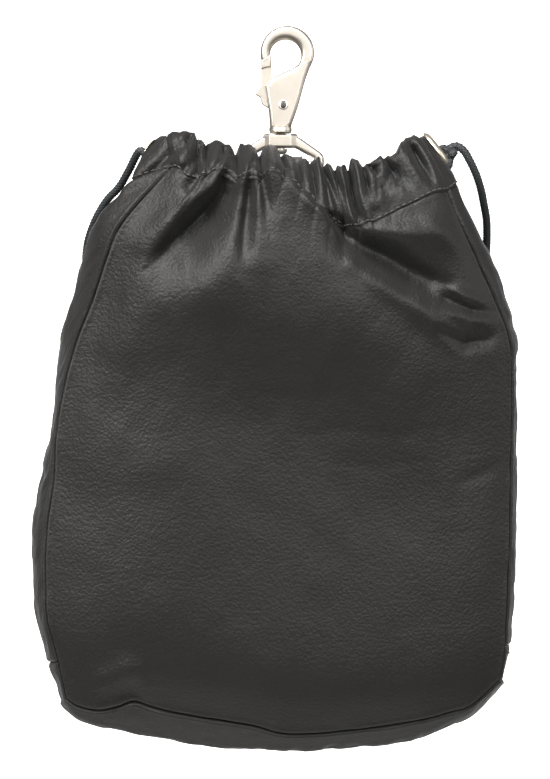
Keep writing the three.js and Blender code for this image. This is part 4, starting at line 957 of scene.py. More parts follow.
@dataclass(frozen=True)
class GrainedLeather:
    """Drum-dyed black full-grain cowhide, soft garment weight: deep charcoal that greys where it
    catches light, an uneven pebble grain, fine creases where it is gathered, a painted highlight
    along its edges and painted shade deep in the gathers."""

    name: str = "black full-grain cowhide"
    hide: str = "#191817"
    tired: str = "#201e1d"
    # painted highlight: a lighter grey laid along seam shoulders, the casing's rim and the strap's edges
    painted_edge_highlight: str = "#4b4a49"
    # painted shade: near black laid deep in the casing's gathers
    hollow: str = "#0c0b0b"
    roughness: float = 0.48
    grain: float = 1.3
    crease: float = 7.0
    grain_depth: float = 0.18
    crease_depth: float = 0.15

    def build(self) -> bpy.types.Material:
        """Makes the material. The grain's cells are drawn 1.3 mm wide, coarser than real ones."""
        material = bpy.data.materials.new(self.name)
        material.use_nodes = True
        tree = material.node_tree
        surface = tree.nodes["Principled BSDF"]
        place = add_node(tree, "ShaderNodeTexCoord").outputs["Object"]
        drift = add_node(tree, "ShaderNodeTexNoise", {"Vector": place, "Scale": 1 / (28 * MM), "Detail": 3.0})
        painted_edge_highlight = add_node(tree, "ShaderNodeAttribute", attribute_name="painted_edge_highlight")
        crumple = add_node(tree, "ShaderNodeAttribute", attribute_name="crumple")
        tone = add_node(tree, "ShaderNodeMix", {"Factor": drift.outputs["Fac"], "A": linear(self.hide),
                                                "B": linear(self.tired)}, data_type="RGBA")
        # painted highlight: mixes the lighter grey in along the edges
        edge = add_node(tree, "ShaderNodeMix", {"Factor": painted_edge_highlight.outputs["Fac"], "A": tone.outputs["Result"],
                                                "B": linear(self.painted_edge_highlight)}, data_type="RGBA")
        # painted shade: mixes near black in deep in the gathers
        hollow = add_node(tree, "ShaderNodeAttribute", attribute_name="hollow")
        deep = add_node(tree, "ShaderNodeMix", {"Factor": hollow.outputs["Fac"], "A": edge.outputs["Result"],
                                                "B": linear(self.hollow)}, data_type="RGBA")
        warp = add_node(tree, "ShaderNodeTexNoise", {"Vector": place, "Scale": 1 / (2.2 * MM), "Detail": 1.0})
        shift = add_node(tree, "ShaderNodeVectorMath", {0: warp.outputs["Color"], "Scale": 0.7 * MM},
                         operation="SCALE")
        moved = add_node(tree, "ShaderNodeVectorMath", {0: place, 1: shift.outputs["Vector"]}, operation="ADD")
        cells = add_node(tree, "ShaderNodeTexVoronoi", {"Vector": moved.outputs["Vector"],
                                                        "Scale": 1 / (self.grain * MM)}, feature="F1")
        pores = add_node(tree, "ShaderNodeTexNoise", {"Vector": place, "Scale": 1 / (0.8 * MM), "Detail": 2.0})
        pebble = add_node(tree, "ShaderNodeMath",
                          {0: cells.outputs["Distance"], 1: -0.9, 2: pores.outputs["Fac"]},
                          operation="MULTIPLY_ADD")
        folds = add_node(tree, "ShaderNodeTexNoise", {"Vector": place, "Scale": 1 / (self.crease * MM),
                                                      "Detail": 4.0, "Roughness": 0.6, "Distortion": 0.6})
        ridge = add_node(tree, "ShaderNodeMath", {0: folds.outputs["Fac"], 1: -0.5}, operation="ADD")
        valley = add_node(tree, "ShaderNodeMath", {0: ridge.outputs[0]}, operation="ABSOLUTE")
        creased = add_node(tree, "ShaderNodeMath", {0: valley.outputs[0], 1: 3.5}, operation="MULTIPLY")
        creased.use_clamp = True
        amount = add_node(tree, "ShaderNodeMath", {0: crumple.outputs["Fac"], 1: 0.6, 2: 0.1},
                          operation="MULTIPLY_ADD")
        height = add_node(tree, "ShaderNodeMath", {0: creased.outputs[0], 1: amount.outputs[0]},
                          operation="MULTIPLY")
        wide = add_node(tree, "ShaderNodeBump", {"Height": height.outputs[0], "Strength": 0.6,
                                                 "Distance": self.crease_depth * MM})
        fine = add_node(tree, "ShaderNodeBump", {"Height": pebble.outputs[0], "Strength": 0.9,
                                                 "Distance": self.grain_depth * MM,
                                                 "Normal": wide.outputs["Normal"]})
        gloss = add_node(tree, "ShaderNodeMapRange", {"Value": pores.outputs["Fac"],
                                                      "To Min": self.roughness - 0.06,
                                                      "To Max": self.roughness + 0.08})
        tree.links.new(deep.outputs["Result"], surface.inputs["Base Color"])
        tree.links.new(gloss.outputs["Result"], surface.inputs["Roughness"])
        tree.links.new(fine.outputs["Normal"], surface.inputs["Normal"])
        surface.inputs["IOR"].default_value = 1.37
        surface.inputs["Sheen Weight"].default_value = 0.06
        surface.inputs["Sheen Roughness"].default_value = 0.5
        return material


@dataclass(frozen=True)
class FleshSide:
    """The inner side of the same hide, split and dyed through: a matt, short nap."""

    name: str = "flesh side of the hide"
    nap: str = "#2b2826"
    pale: str = "#3d3835"

    def build(self) -> bpy.types.Material:
        """Makes the material. The nap's tufts are drawn 0.9 mm wide, coarser than real ones."""
        material = bpy.data.materials.new(self.name)
        material.use_nodes = True
        tree = material.node_tree
        surface = tree.nodes["Principled BSDF"]
        place = add_node(tree, "ShaderNodeTexCoord").outputs["Object"]
        tufts = add_node(tree, "ShaderNodeTexNoise", {"Vector": place, "Scale": 1 / (0.9 * MM), "Detail": 3.0})
        tone = add_node(tree, "ShaderNodeMix", {"Factor": tufts.outputs["Fac"], "A": linear(self.nap),
                                                "B": linear(self.pale)}, data_type="RGBA")
        bump = add_node(tree, "ShaderNodeBump", {"Height": tufts.outputs["Fac"], "Strength": 0.5,
                                                 "Distance": 0.3 * MM})
        tree.links.new(tone.outputs["Result"], surface.inputs["Base Color"])
        tree.links.new(bump.outputs["Normal"], surface.inputs["Normal"])
        surface.inputs["Roughness"].default_value = 0.95
        surface.inputs["Sheen Weight"].default_value = 0.25
        return material


@dataclass(frozen=True)
class CastMetal:
    """Cast zinc or pressed brass under a plated, bead-blasted skin: a soft, wide gloss with a
    fine grit and a little darker metal where the plating is thin."""

    name: str
    bright: str
    dull: str
    roughness: float
    grit: float = 0.45

    def build(self) -> bpy.types.Material:
        """Makes the material. The grit is drawn 0.45 mm, coarser than the blast's real 0.1 mm."""
        material = bpy.data.materials.new(self.name)
        material.use_nodes = True
        tree = material.node_tree
        surface = tree.nodes["Principled BSDF"]
        place = add_node(tree, "ShaderNodeTexCoord").outputs["Object"]
        cloud = add_node(tree, "ShaderNodeTexNoise", {"Vector": place, "Scale": 1 / (7 * MM), "Detail": 4.0})
        grit = add_node(tree, "ShaderNodeTexNoise",
                        {"Vector": place, "Scale": 1 / (self.grit * MM), "Detail": 2.0})
        tone = add_node(tree, "ShaderNodeMix", {"Factor": cloud.outputs["Fac"], "A": linear(self.bright),
                                                "B": linear(self.dull)}, data_type="RGBA")
        gloss = add_node(tree, "ShaderNodeMapRange", {"Value": cloud.outputs["Fac"],
                                                      "To Min": self.roughness - 0.05,
                                                      "To Max": self.roughness + 0.07})
        bump = add_node(tree, "ShaderNodeBump", {"Height": grit.outputs["Fac"], "Strength": 0.25,
                                                 "Distance": 0.05 * MM})
        tree.links.new(tone.outputs["Result"], surface.inputs["Base Color"])
        tree.links.new(gloss.outputs["Result"], surface.inputs["Roughness"])
        tree.links.new(bump.outputs["Normal"], surface.inputs["Normal"])
        surface.inputs["Metallic"].default_value = 1.0
        return material


@dataclass(frozen=True)
class SpunFibre:
    """Spun polyester, braided into cord or laid up and waxed as thread: near black, matt, with a
    cool edge light, and painted shade that darkens it down between the strands."""

    name: str
    strand: str
    painted_gap_shade: str
    roughness: float = 0.72
    sheen: float = 0.1

    def build(self) -> bpy.types.Material:
        """Makes the material. It reads how high each point stands on its strand from the mesh, and
        paints the low places darker as painted shade.
        """
        material = bpy.data.materials.new(self.name)
        material.use_nodes = True
        tree = material.node_tree
        surface = tree.nodes["Principled BSDF"]
        place = add_node(tree, "ShaderNodeTexCoord").outputs["Object"]
        strand = add_node(tree, "ShaderNodeAttribute", attribute_name="strand")
        fibres = add_node(tree, "ShaderNodeTexNoise",
                          {"Vector": place, "Scale": 1 / (0.35 * MM), "Detail": 2.0})
        # painted shade: the darker colour down between the strands
        tone = add_node(tree, "ShaderNodeMix", {"Factor": strand.outputs["Fac"], "A": linear(self.painted_gap_shade),
                                                "B": linear(self.strand)}, data_type="RGBA")
        bump = add_node(tree, "ShaderNodeBump", {"Height": fibres.outputs["Fac"], "Strength": 0.5,
                                                 "Distance": 0.12 * MM})
        tree.links.new(tone.outputs["Result"], surface.inputs["Base Color"])
        tree.links.new(bump.outputs["Normal"], surface.inputs["Normal"])
        surface.inputs["Roughness"].default_value = self.roughness
        surface.inputs["Sheen Weight"].default_value = self.sheen
        surface.inputs["Sheen Roughness"].default_value = 0.4
        return material


@dataclass
class Finishes:
    """Every finish of the object, made once."""

    hide: bpy.types.Material = field(default_factory=lambda: GrainedLeather().build())
    tab_hide: bpy.types.Material = field(default_factory=lambda: GrainedLeather(
        name="black bridle leather strap", hide="#1d1c1c", tired="#272524", roughness=0.55).build())
    flesh: bpy.types.Material = field(default_factory=lambda: FleshSide().build())
    nickel: bpy.types.Material = field(default_factory=lambda: CastMetal(
        "satin nickel plate on cast zinc", "#dfd7cc", "#c8bfb2", 0.4).build())
    # painted shade: the pin is coloured dark grey for the shade in its recessed end, which the mesh doesn't have
    pin: bpy.types.Material = field(default_factory=lambda: CastMetal(
        "peened steel pin", "#6b665f", "#544f49", 0.5).build())
    grommet: bpy.types.Material = field(default_factory=lambda: CastMetal(
        "pale nickel on pressed brass", "#fbf4e6", "#e6d9bf", 0.4).build())
    # the cord's second colour is painted shade between its strands
    braid: bpy.types.Material = field(default_factory=lambda: SpunFibre(
        "braided polyester cord", "#34383a", "#040405", 0.6, 0.12).build())
    thread: bpy.types.Material = field(default_factory=lambda: SpunFibre(
        "waxed polyester thread", "#3a3736", "#232120", 0.5, 0.2).build())


def finish_piece(piece: bpy.types.Object, materials: list, body: Body,
                 replaces: tuple = ()) -> None:
    """Dresses a piece, puts it on its body and hides the model's parts that it stands for."""
    piece.data.materials.clear()
    for material in materials:
        piece.data.materials.append(material)
    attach(piece, body.value)
    if replaces:
        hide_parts(*replaces)
    log.info("%s: %d faces on %s", piece.name, len(piece.data.polygons), body.value)


# Leather pieces

class Dent(NamedTuple):
    """How far the left gusset is pressed in, in mm, at a distance below the hook's arch."""

    drop: float
    depth: float


LEFT_DENTS = (
    Dent(95, 0.3), Dent(113, 1.4), Dent(125, 2.2), Dent(136, 2.8), Dent(150, 3.4), Dent(157, 2.6),
    Dent(165, 0.9), Dent(176, 0.6), Dent(195, 0.0),
)

ROLL_SHARES = 1 - np.sin(np.radians([90, 76, 62, 48, 34, 20, 8]))


def spread(count: int, length: float, roll: float, start: bool = True, end: bool = True) -> Array:
    """Shares from 0 to 1 with closer steps where an edge rolls into its seam."""
    edge = ROLL_SHARES * roll / length
    low = edge if start else np.array([0.0])
    high = 1 - edge[::-1] if end else np.array([1.0])
    inner = np.linspace(low[-1], high[0], count - len(low) - len(high) + 2)[1:-1]
    return np.concatenate([low, inner, high])


@dataclass
class LeatherBody:
    """Front and back panels, gussets and base strip, sewn with turned seams: each leather rolls
    down into the crevice beside its neighbour."""

    form: PouchForm
    thick: float = 1.5
    roll: float = 1.5
    seam_gap: float = 0.22
    pucker: float = 0.28
    join_share: float = 0.93

    def __post_init__(self) -> None:
        """Works out the bare surfaces and the directions in which the seams turn down."""
        form, roll = self.form, self.roll
        self.across = spread(301, 165.0, roll)
        self.down = spread(241, 215.0, roll, start=False)
        self.back_across = spread(201, 165.0, roll)
        self.back_down = spread(181, 215.0, roll, start=False)
        self.deep = spread(61, 55.0, roll)
        joins = (self.join_share, 3 - self.join_share)
        edge = ROLL_SHARES[1:] * roll / 215.0
        self.place = np.unique(np.concatenate(
            [np.linspace(0, 1, 180), np.linspace(1, 2, 260), np.linspace(2, 3, 180)]
            + [join + sign * edge for join in joins for sign in (-1, 1)] + [np.array(joins)]))
        self.bare = {
            Face.FRONT: form.panel(Face.FRONT, self.across, self.down),
            Face.BACK: form.panel(Face.BACK, self.back_across, self.back_down),
        }
        self.band = form.band(self.place, self.deep)
        self.band_normals = -surface_normals(self.band)
        self.turn_down = {face: self.seam_directions(face) for face in Face}

    def normals(self, face: Face) -> Array:
        """Outward normals of a bare panel."""
        return surface_normals(self.bare[face]) * (1 if face is Face.FRONT else -1)

    def seam_directions(self, face: Face) -> tuple[Array, Array]:
        """Path places and the outward direction between panel and band at each."""
        shares = {Face.FRONT: (self.across, self.down), Face.BACK: (self.back_across, self.back_down)}
        across, down = shares[face]
        normals = self.normals(face)
        place = np.concatenate([down, 1 + across[1:], 3 - down[::-1][1:]])
        panel = np.concatenate([normals[:, 0], normals[-1, 1:], normals[::-1, -1][1:]])
        column = 0 if face is Face.FRONT else -1
        band = np.stack([np.interp(place, self.place, self.band_normals[:, column, k]) for k in range(3)], -1)
        both = panel + band
        kernel = np.exp(-np.linspace(-2, 2, 13) ** 2)
        kernel /= kernel.sum()
        padded = np.pad(both, ((6, 6), (0, 0)), mode="edge")
        smooth = np.stack([np.convolve(padded[:, k], kernel, "valid") for k in range(3)], -1)
        return place, unit(smooth)

    def rolled(self, grid: Array, distance: Array, towards: Array, outward: Array,
               seam_place: Array) -> Array:
        """Moves the points near an edge down into its seam.

        Args:
            grid: points of the surface.
            distance: how far each point is from the seam.
            towards: direction away from the seam, in the surface.
            outward: direction between the two leathers at the nearest place of the seam.
            seam_place: place along the seam in mm, for its uneven puckers.

        Returns:
            The moved points.
        """
        x = np.clip(1 - distance / self.roll, 0, 1)
        dip = self.roll * (1 - np.sqrt(np.maximum(1 - x ** 2, 0)))
        soft = 0.45 * np.exp(-distance / 3.2)
        wave = self.pucker * rumple(seam_place, distance, 7.0, 7) * np.exp(-distance / 5.0)
        bead = 0.4 * np.exp(-((distance - self.roll) / 0.8) ** 2)
        return grid + towards * (self.seam_gap * x)[..., None] - outward * (dip + soft + wave - bead)[..., None]

    def panel(self, face: Face) -> bpy.types.Object:
        """Builds the front or back panel with its folds, rolled edges and inner wall."""
        bare, normals = self.bare[face].copy(), self.normals(face)
        across, down = (self.across, self.down) if face is Face.FRONT else (self.back_across, self.back_down)
        depth = face_depth(face, bare[..., 0], bare[..., 2]) * face_mask(across)[None] \
            * ease((1 - down) / 0.05)[:, None]
        bare[..., 1] += depth if face is Face.FRONT else -depth
        left, right = distances_from_ends(bare, 1)
        top, bottom = distances_from_ends(bare, 0)
        seam_place, directions = self.turn_down[face]
        distance = np.minimum(np.minimum(left, right), bottom)
        place = np.where(bottom <= np.minimum(left, right), 1 + across[None],
                         np.where(left < right, down[:, None], 3 - down[:, None]))
        outward = np.stack([np.interp(place, seam_place, directions[:, k]) for k in range(3)], -1)
        sideways, upwards = unit(np.gradient(bare, axis=1)), -unit(np.gradient(bare, axis=0))
        towards = np.where((bottom <= np.minimum(left, right))[..., None], upwards,
                           np.where((left < right)[..., None], sideways, -sideways))
        length = np.where(place <= 1, top, np.where(place >= 2, top, left))
        outer = self.rolled(bare, distance, towards, outward, length)
        outer -= normals * (0.55 * np.exp(-(top / 0.9) ** 2))[..., None]
        name = f"{face.value}_panel_leather"
        piece = self.wall(name, outer, bare, normals)
        # painted highlight on the shoulder of the rolled seam edge
        painted_edge_highlight = 0.8 * np.exp(-((distance - 0.8) / 0.5) ** 2)
        crumple = np.clip(np.abs(depth) / 4 + 0.9 * np.exp(-top / 30) + 0.5 * np.exp(-distance / 18), 0, 1)
        self.add_layers(piece, painted_edge_highlight, crumple)
        return piece

    def band_piece(self, name: str, first: float, last: float) -> bpy.types.Object:
        """Builds a gusset or the base strip, between two places along the band."""
        rows = np.where((self.place >= first - 1e-9) & (self.place <= last + 1e-9))[0]
        if len(rows) % 2 == 0:
            middle = len(rows) // 2
            rows = np.delete(rows, middle)
        grid, normals = self.band[rows], self.band_normals[rows]
        place = self.place[rows]
        front, back = distances_from_ends(grid, 1)
        start, end = distances_from_ends(grid, 0)
        run = start
        bump = 0.5 * rumple(run, front, 9.0, 21, 2) + 0.4 * rumple(run, front * 0.25, 4.5, 22)
        bump *= ease(np.minimum(front, back) / 8)
        dents = np.interp(-grid[..., 2], [row.drop for row in LEFT_DENTS], [row.depth for row in LEFT_DENTS])
        bump -= dents * np.where(place < 1, 1.0, 0.0)[:, None] * np.sin(np.pi * self.deep)
        bare = grid + normals * bump[..., None]
        far = np.full(start.shape, 1e3)
        low = start if first > 0 else far
        high = end if last < 3 else far
        side, cross = np.minimum(front, back), np.minimum(low, high)
        distance = np.minimum(side, cross)
        outward = np.zeros(bare.shape)
        for column, face in ((front, Face.FRONT), (back, Face.BACK)):
            seam_place, directions = self.turn_down[face]
            here = np.stack([np.interp(place, seam_place, directions[:, k]) for k in range(3)], -1)
            outward += here[:, None] * (column <= np.minimum(front, back))[..., None]
        outward = unit(np.where((cross < side)[..., None], normals, outward))
        sideways, ahead = unit(np.gradient(bare, axis=1)), unit(np.gradient(bare, axis=0))
        towards = np.where((cross < side)[..., None], np.where((low < high)[..., None], ahead, -ahead),
                           np.where((front < back)[..., None], sideways, -sideways))
        outer = self.rolled(bare, distance, towards, outward, np.where(cross < side, front, run))
        low_seam = ease((4 - cross) / 3) * ease(side / 2.5)
        outer += (bare - outer) * (0.55 * low_seam * (cross < side))[..., None]
        if first == 0:
            outer -= normals * (0.55 * np.exp(-(start / 0.9) ** 2))[..., None]
        if last == 3:
            outer -= normals * (0.55 * np.exp(-(end / 0.9) ** 2))[..., None]
        piece = self.wall(name, outer, bare, normals)
        # painted highlight along the band's rolled seam edges
        painted_edge_highlight = 0.25 * np.exp(-((distance - 0.55) / 0.45) ** 2)
        self.add_layers(piece, painted_edge_highlight, np.full(painted_edge_highlight.shape, 0.65))
        return piece

    def wall(self, name: str, outer: Array, bare: Array, normals: Array) -> bpy.types.Object:
        """Closes an outer sheet with an inner wall at half its fineness."""
        rows, columns = outer.shape[:2]
        inner = (bare - normals * self.thick)[::2, ::2]
        low_rows, low_columns = inner.shape[:2]
        start = rows * columns
        faces = grid_faces(rows, columns).tolist()
        faces += grid_faces(low_rows, low_columns, start)[:, ::-1].tolist()
        number = np.arange(start).reshape(rows, columns)
        inside = start + np.arange(low_rows * low_columns).reshape(low_rows, low_columns)
        for long, short in ((number[0], inside[0]), (number[-1], inside[-1]),
                            (number[:, 0], inside[:, 0]), (number[:, -1], inside[:, -1])):
            for k in range(len(short) - 1):
                a, b, c = (int(v) for v in long[2 * k:2 * k + 3])
                p, q = int(short[k]), int(short[k + 1])
                faces += [[a, b, p], [b, q, p], [b, c, q]]
        piece = new_object(name, np.concatenate([outer.reshape(-1, 3), inner.reshape(-1, 3)]), faces)
        face_outwards(piece)
        inner_faces = (low_rows - 1) * (low_columns - 1)
        first = (rows - 1) * (columns - 1)
        side = np.zeros(len(piece.data.polygons), np.int32)
        side[first:first + inner_faces] = 1
        piece.data.materials.append(None)
        piece.data.materials.append(None)
        piece.data.polygons.foreach_set("material_index", side)
        return piece

    def add_layers(self, piece: bpy.types.Object, painted_edge_highlight: Array, crumple: Array) -> None:
        """Stores where a highlight is painted along the leather's edges and where it is crumpled."""
        count = len(piece.data.vertices)
        for name, layer in (("painted_edge_highlight", painted_edge_highlight), ("crumple", crumple)):
            values = np.zeros(count)
            values[:layer.size] = layer.ravel()
            add_values(piece, name, values)

    def build(self, finishes: Finishes) -> None:
        """Builds and dresses the five leather walls."""
        pieces = [(self.panel(Face.FRONT), "front_panel"), (self.panel(Face.BACK), "back_panel")]
        join = self.join_share
        pieces.append((self.band_piece("left_gusset_leather", 0, join), "left_gusset"))
        pieces.append((self.band_piece("base_strip_leather", join, 3 - join), "base_strip"))
        pieces.append((self.band_piece("right_gusset_leather", 3 - join, 3), "right_gusset"))
        for piece, node in pieces:
            finish_piece(piece, [finishes.hide, finishes.flesh], Body.POUCH, (node,))


class RimLift(NamedTuple):
    """How far the front of the casing's rim is lifted at one place across, in mm."""

    x: float
    lift: float


# These lifts weren't drawn by hand. They are the differences that a separate program measured
# between an earlier rim of this model and the real one's outline.
RIM_LIFTS = (
    RimLift(-56, -2.6), RimLift(-54.9, -2.6), RimLift(-53.7, -2.6), RimLift(-52.6, -2.6),
    RimLift(-51, -2.6), RimLift(-49.5, -2.6), RimLift(-47.9, -0.8), RimLift(-46, 0.8), RimLift(-44.1, -0.8),
    RimLift(-40.2, -2.7), RimLift(-36.3, -0.8), RimLift(-34.4, 1.5), RimLift(-32.5, -1.1),
    RimLift(-30.5, -1.1), RimLift(-28.6, -1.9), RimLift(-26.7, -1.5), RimLift(-24.7, -1.9),
    RimLift(-22.8, -2.7), RimLift(-20.9, -0.8), RimLift(-19, -0.4), RimLift(-17, 1.9), RimLift(-15.1, -1.1),
    RimLift(-11.2, 0), RimLift(-9.7, -1.9), RimLift(-5.4, -0.4), RimLift(-1.2, 0), RimLift(2.3, -2.3),
    RimLift(6.9, -1.1), RimLift(12, -0.4), RimLift(13.9, 2.7), RimLift(15.8, 0), RimLift(17.7, -0.8),
    RimLift(19.7, -0.4), RimLift(21.6, -2.7), RimLift(23.5, -0.8), RimLift(25.5, 0.8), RimLift(27.4, -0.8),
    RimLift(33.2, -1.5), RimLift(35.1, -0.8), RimLift(37.1, 0.8), RimLift(40.9, -1.9), RimLift(42.9, -1.5),
    RimLift(44.8, 1.9), RimLift(46.7, 1.9), RimLift(48.7, 0), RimLift(50.6, -1.1), RimLift(52.5, -1.5),
)


def face_mask(share: Array) -> Array:
    """Fades the folds out towards the side seams, by the share of the way across."""
    return ease(np.minimum(share, 1 - share) / 0.085)


def face_depth(face: Face, x: Array, z: Array) -> Array:
    """Depth of all folds and soft bumps of a face at its places, in mm into the pouch."""
    folds = FRONT_FOLDS if face is Face.FRONT else BACK_FOLDS
    depth = np.zeros(x.shape)
    for fold in folds:
        depth += fold.depth_at(x, z)
    if face is Face.FRONT:
        depth += FRONT_OVERLAP.depth_at(x, z)
    near_neck = np.exp(-np.maximum(-z - 70, 0) / 35)
    depth += 0.45 * rumple(x, z, 26.0, 3, 2) + (0.15 + 0.35 * near_neck) * rumple(x, z * 0.6, 7.0, 4, 2)
    return depth


@dataclass
class HemCasing:
    """The folded-over casing at the mouth, gathered on its cord, with its row of stitches."""

    form: PouchForm
    steps: int = 900
    samples: int = 54
    channel: float = 0.6
    gather_shade_reach: int = 9
    gather_shade_start: float = 0.1
    gather_shade_depth: float = 1.3
    stitch_pitch: float = 2.7
    stitch_length: float = 2.1
    thread_radius: float = 0.34

    def section(self) -> tuple[Array, Array]:
        """Closed smooth section of the casing, as shares of its height and thickness."""
        rows = np.array([(p.up, p.out) for p in HEM_OUTSIDE])
        count = len(rows)
        t = np.linspace(0, count, self.samples, endpoint=False)
        i = t.astype(int)
        s = (t - i)[:, None]
        p0, p1, p2, p3 = (rows[(i + k) % count] for k in (-1, 0, 1, 2))
        smooth = 0.5 * (2 * p1 + (p2 - p0) * s + (2 * p0 - 5 * p1 + 4 * p2 - p3) * s ** 2
                        + (3 * p1 - p0 - 3 * p2 + p3) * s ** 3)
        corner = np.where((i == 0) | (i == count - 1), 1.0, 0.0)[:, None]
        straight = p1 + (p2 - p1) * s
        return tuple((smooth * (1 - corner) + straight * corner).T)

    def grid(self) -> Array:
        """Points of the casing: rows round the neck, columns round its section."""
        form = self.form
        turn = np.arange(self.steps) / self.steps
        up_share, out_share = self.section()
        foot, tall, up, out = form.hem_frame(turn)
        gather, rise = form.gather(turn, 0.8)
        lift = form.hem_lift - 0.7
        height = lift + up_share[None] * (tall[:, None] - lift) + rise[:, None] * up_share[None] ** 2
        reach = out_share[None] * form.hem_thick + gather[:, None]
        channel = self.channel * np.exp(-(up_share[None] * tall[:, None] / 0.9) ** 2)
        reach = reach - np.where(out_share[None] > -0.2, channel, 0)
        grid = foot[:, None] + up[:, None] * height[..., None] + out[:, None] * reach[..., None]
        near_middle = ease((form.front_end + 0.03 - turn) / 0.03) + ease((turn - form.back_end - 0.02) / 0.05)
        on_front = np.clip(near_middle, 0, 1) * ease(-1.5 * out[:, 1])
        deeper = 1 + 0.55 * ease(up_share / 0.5)
        depth = face_depth(Face.FRONT, grid[..., 0], grid[..., 2]) * on_front[:, None] * deeper[None]
        outer = 0.35 + 0.65 * ease((out_share + 0.75) / 0.75)
        grid[..., 1] += depth * outer[None]
        grid[..., 2] -= 0.45 * np.maximum(depth, 0) * (up_share ** 2)[None]
        on_back = np.where((turn > form.right_end) & (turn < form.back_end),
                           face_mask((turn - form.right_end) / (form.back_end - form.right_end)), 0.0)
        back = face_depth(Face.BACK, grid[..., 0], grid[..., 2]) * on_back[:, None]
        grid[..., 1] -= back * outer[None]
        run = np.concatenate([[0], np.cumsum(np.linalg.norm(np.diff(foot, axis=0), axis=1))])
        wrinkle = 0.32 * rumple(run[:, None], up_share[None] * tall[:, None] * 0.35, 2.6, 31, 2)
        lift = np.interp(grid[..., 0], [row.x for row in RIM_LIFTS], [row.lift for row in RIM_LIFTS])
        grid[..., 2] += lift * ease((10 - grid[..., 1]) / 10) * (up_share ** 2)[None]
        flat = np.where((turn > form.front_end) & (turn < form.right_end) | (turn > form.back_end), 0.3, 1.0)
        grid += out[:, None] * (wrinkle * flat[:, None] * ease(up_share / 0.2)[None])[..., None]
        return self.recessed(grid)

    def recessed(self, grid: Array) -> Array:
        """Sinks the casing behind the bores of the two grommets."""
        for turn in grommet_turns(self.form):
            face, out, _ = self.form.grommet_place(turn)
            offset = grid - face
            height = offset @ out
            radius = np.linalg.norm(offset - height[..., None] * out, axis=-1)
            near = (np.abs(height) < 2.2) & (radius < 9.5)
            flat = np.where(near, ease((9.5 - radius) / 2.5), 0.0)
            sink = 2.6 * ease((4.4 - radius) / 0.8)
            grid = grid - out * (flat * (height + 0.35) + np.where(near, sink, 0.0))[..., None]
        return grid

    def painted_gather_shade(self, grid: Array) -> Array:
        """How far each point lies in a gather, below the leather beside it: 0 out, 1 deep in. The
        leather's colour is painted darker there, as painted shade.
        """
        foot, _, _, out = self.form.hem_frame(np.arange(self.steps) / self.steps)
        reach = np.einsum("ijk,ik->ij", grid - foot[:, None], out)
        near = range(-self.gather_shade_reach, self.gather_shade_reach + 1)
        beside = sum(np.roll(reach, step, axis=0) for step in near) / len(near)
        return np.clip((beside - reach - self.gather_shade_start) / self.gather_shade_depth, 0, 1)

    def build(self, finishes: Finishes) -> None:
        """Builds and dresses the casing and sews its stitches."""
        grid = self.grid()
        rows, columns = grid.shape[:2]
        faces = grid_faces(rows, columns, wrap=True).tolist()
        last = (rows - 1) * columns
        faces += [[last + j, last + (j + 1) % columns, (j + 1) % columns, j] for j in range(columns)]
        piece = new_object("hem_casing_leather", grid.reshape(-1, 3), faces)
        face_outwards(piece)
        up_share, out_share = self.section()
        # painted highlight along the top of the casing's rim
        rim_highlight = 0.25 * np.exp(-((up_share - 1) / 0.06) ** 2)
        add_values(piece, "painted_edge_highlight", np.broadcast_to(rim_highlight, (rows, columns)))
        add_values(piece, "crumple", np.full((rows, columns), 0.9))
        # painted shade: darkens the leather's colour deep in the gathers
        add_values(piece, "hollow", self.painted_gather_shade(grid))
        finish_piece(piece, [finishes.hide], Body.POUCH, ("hem_casing",))
        outer = np.where(out_share > -0.2)[0]
        column = outer[np.argmin(np.abs(up_share[outer] - 0.045))]
        path = grid[:, column] + self.form.hem_frame(np.arange(rows) / rows)[3] * 0.1
        row = StitchRow("hem_stitches", path, True, self.stitch_pitch, self.stitch_length, self.thread_radius)
        finish_piece(row.build(finishes.thread), [finishes.thread], Body.POUCH)


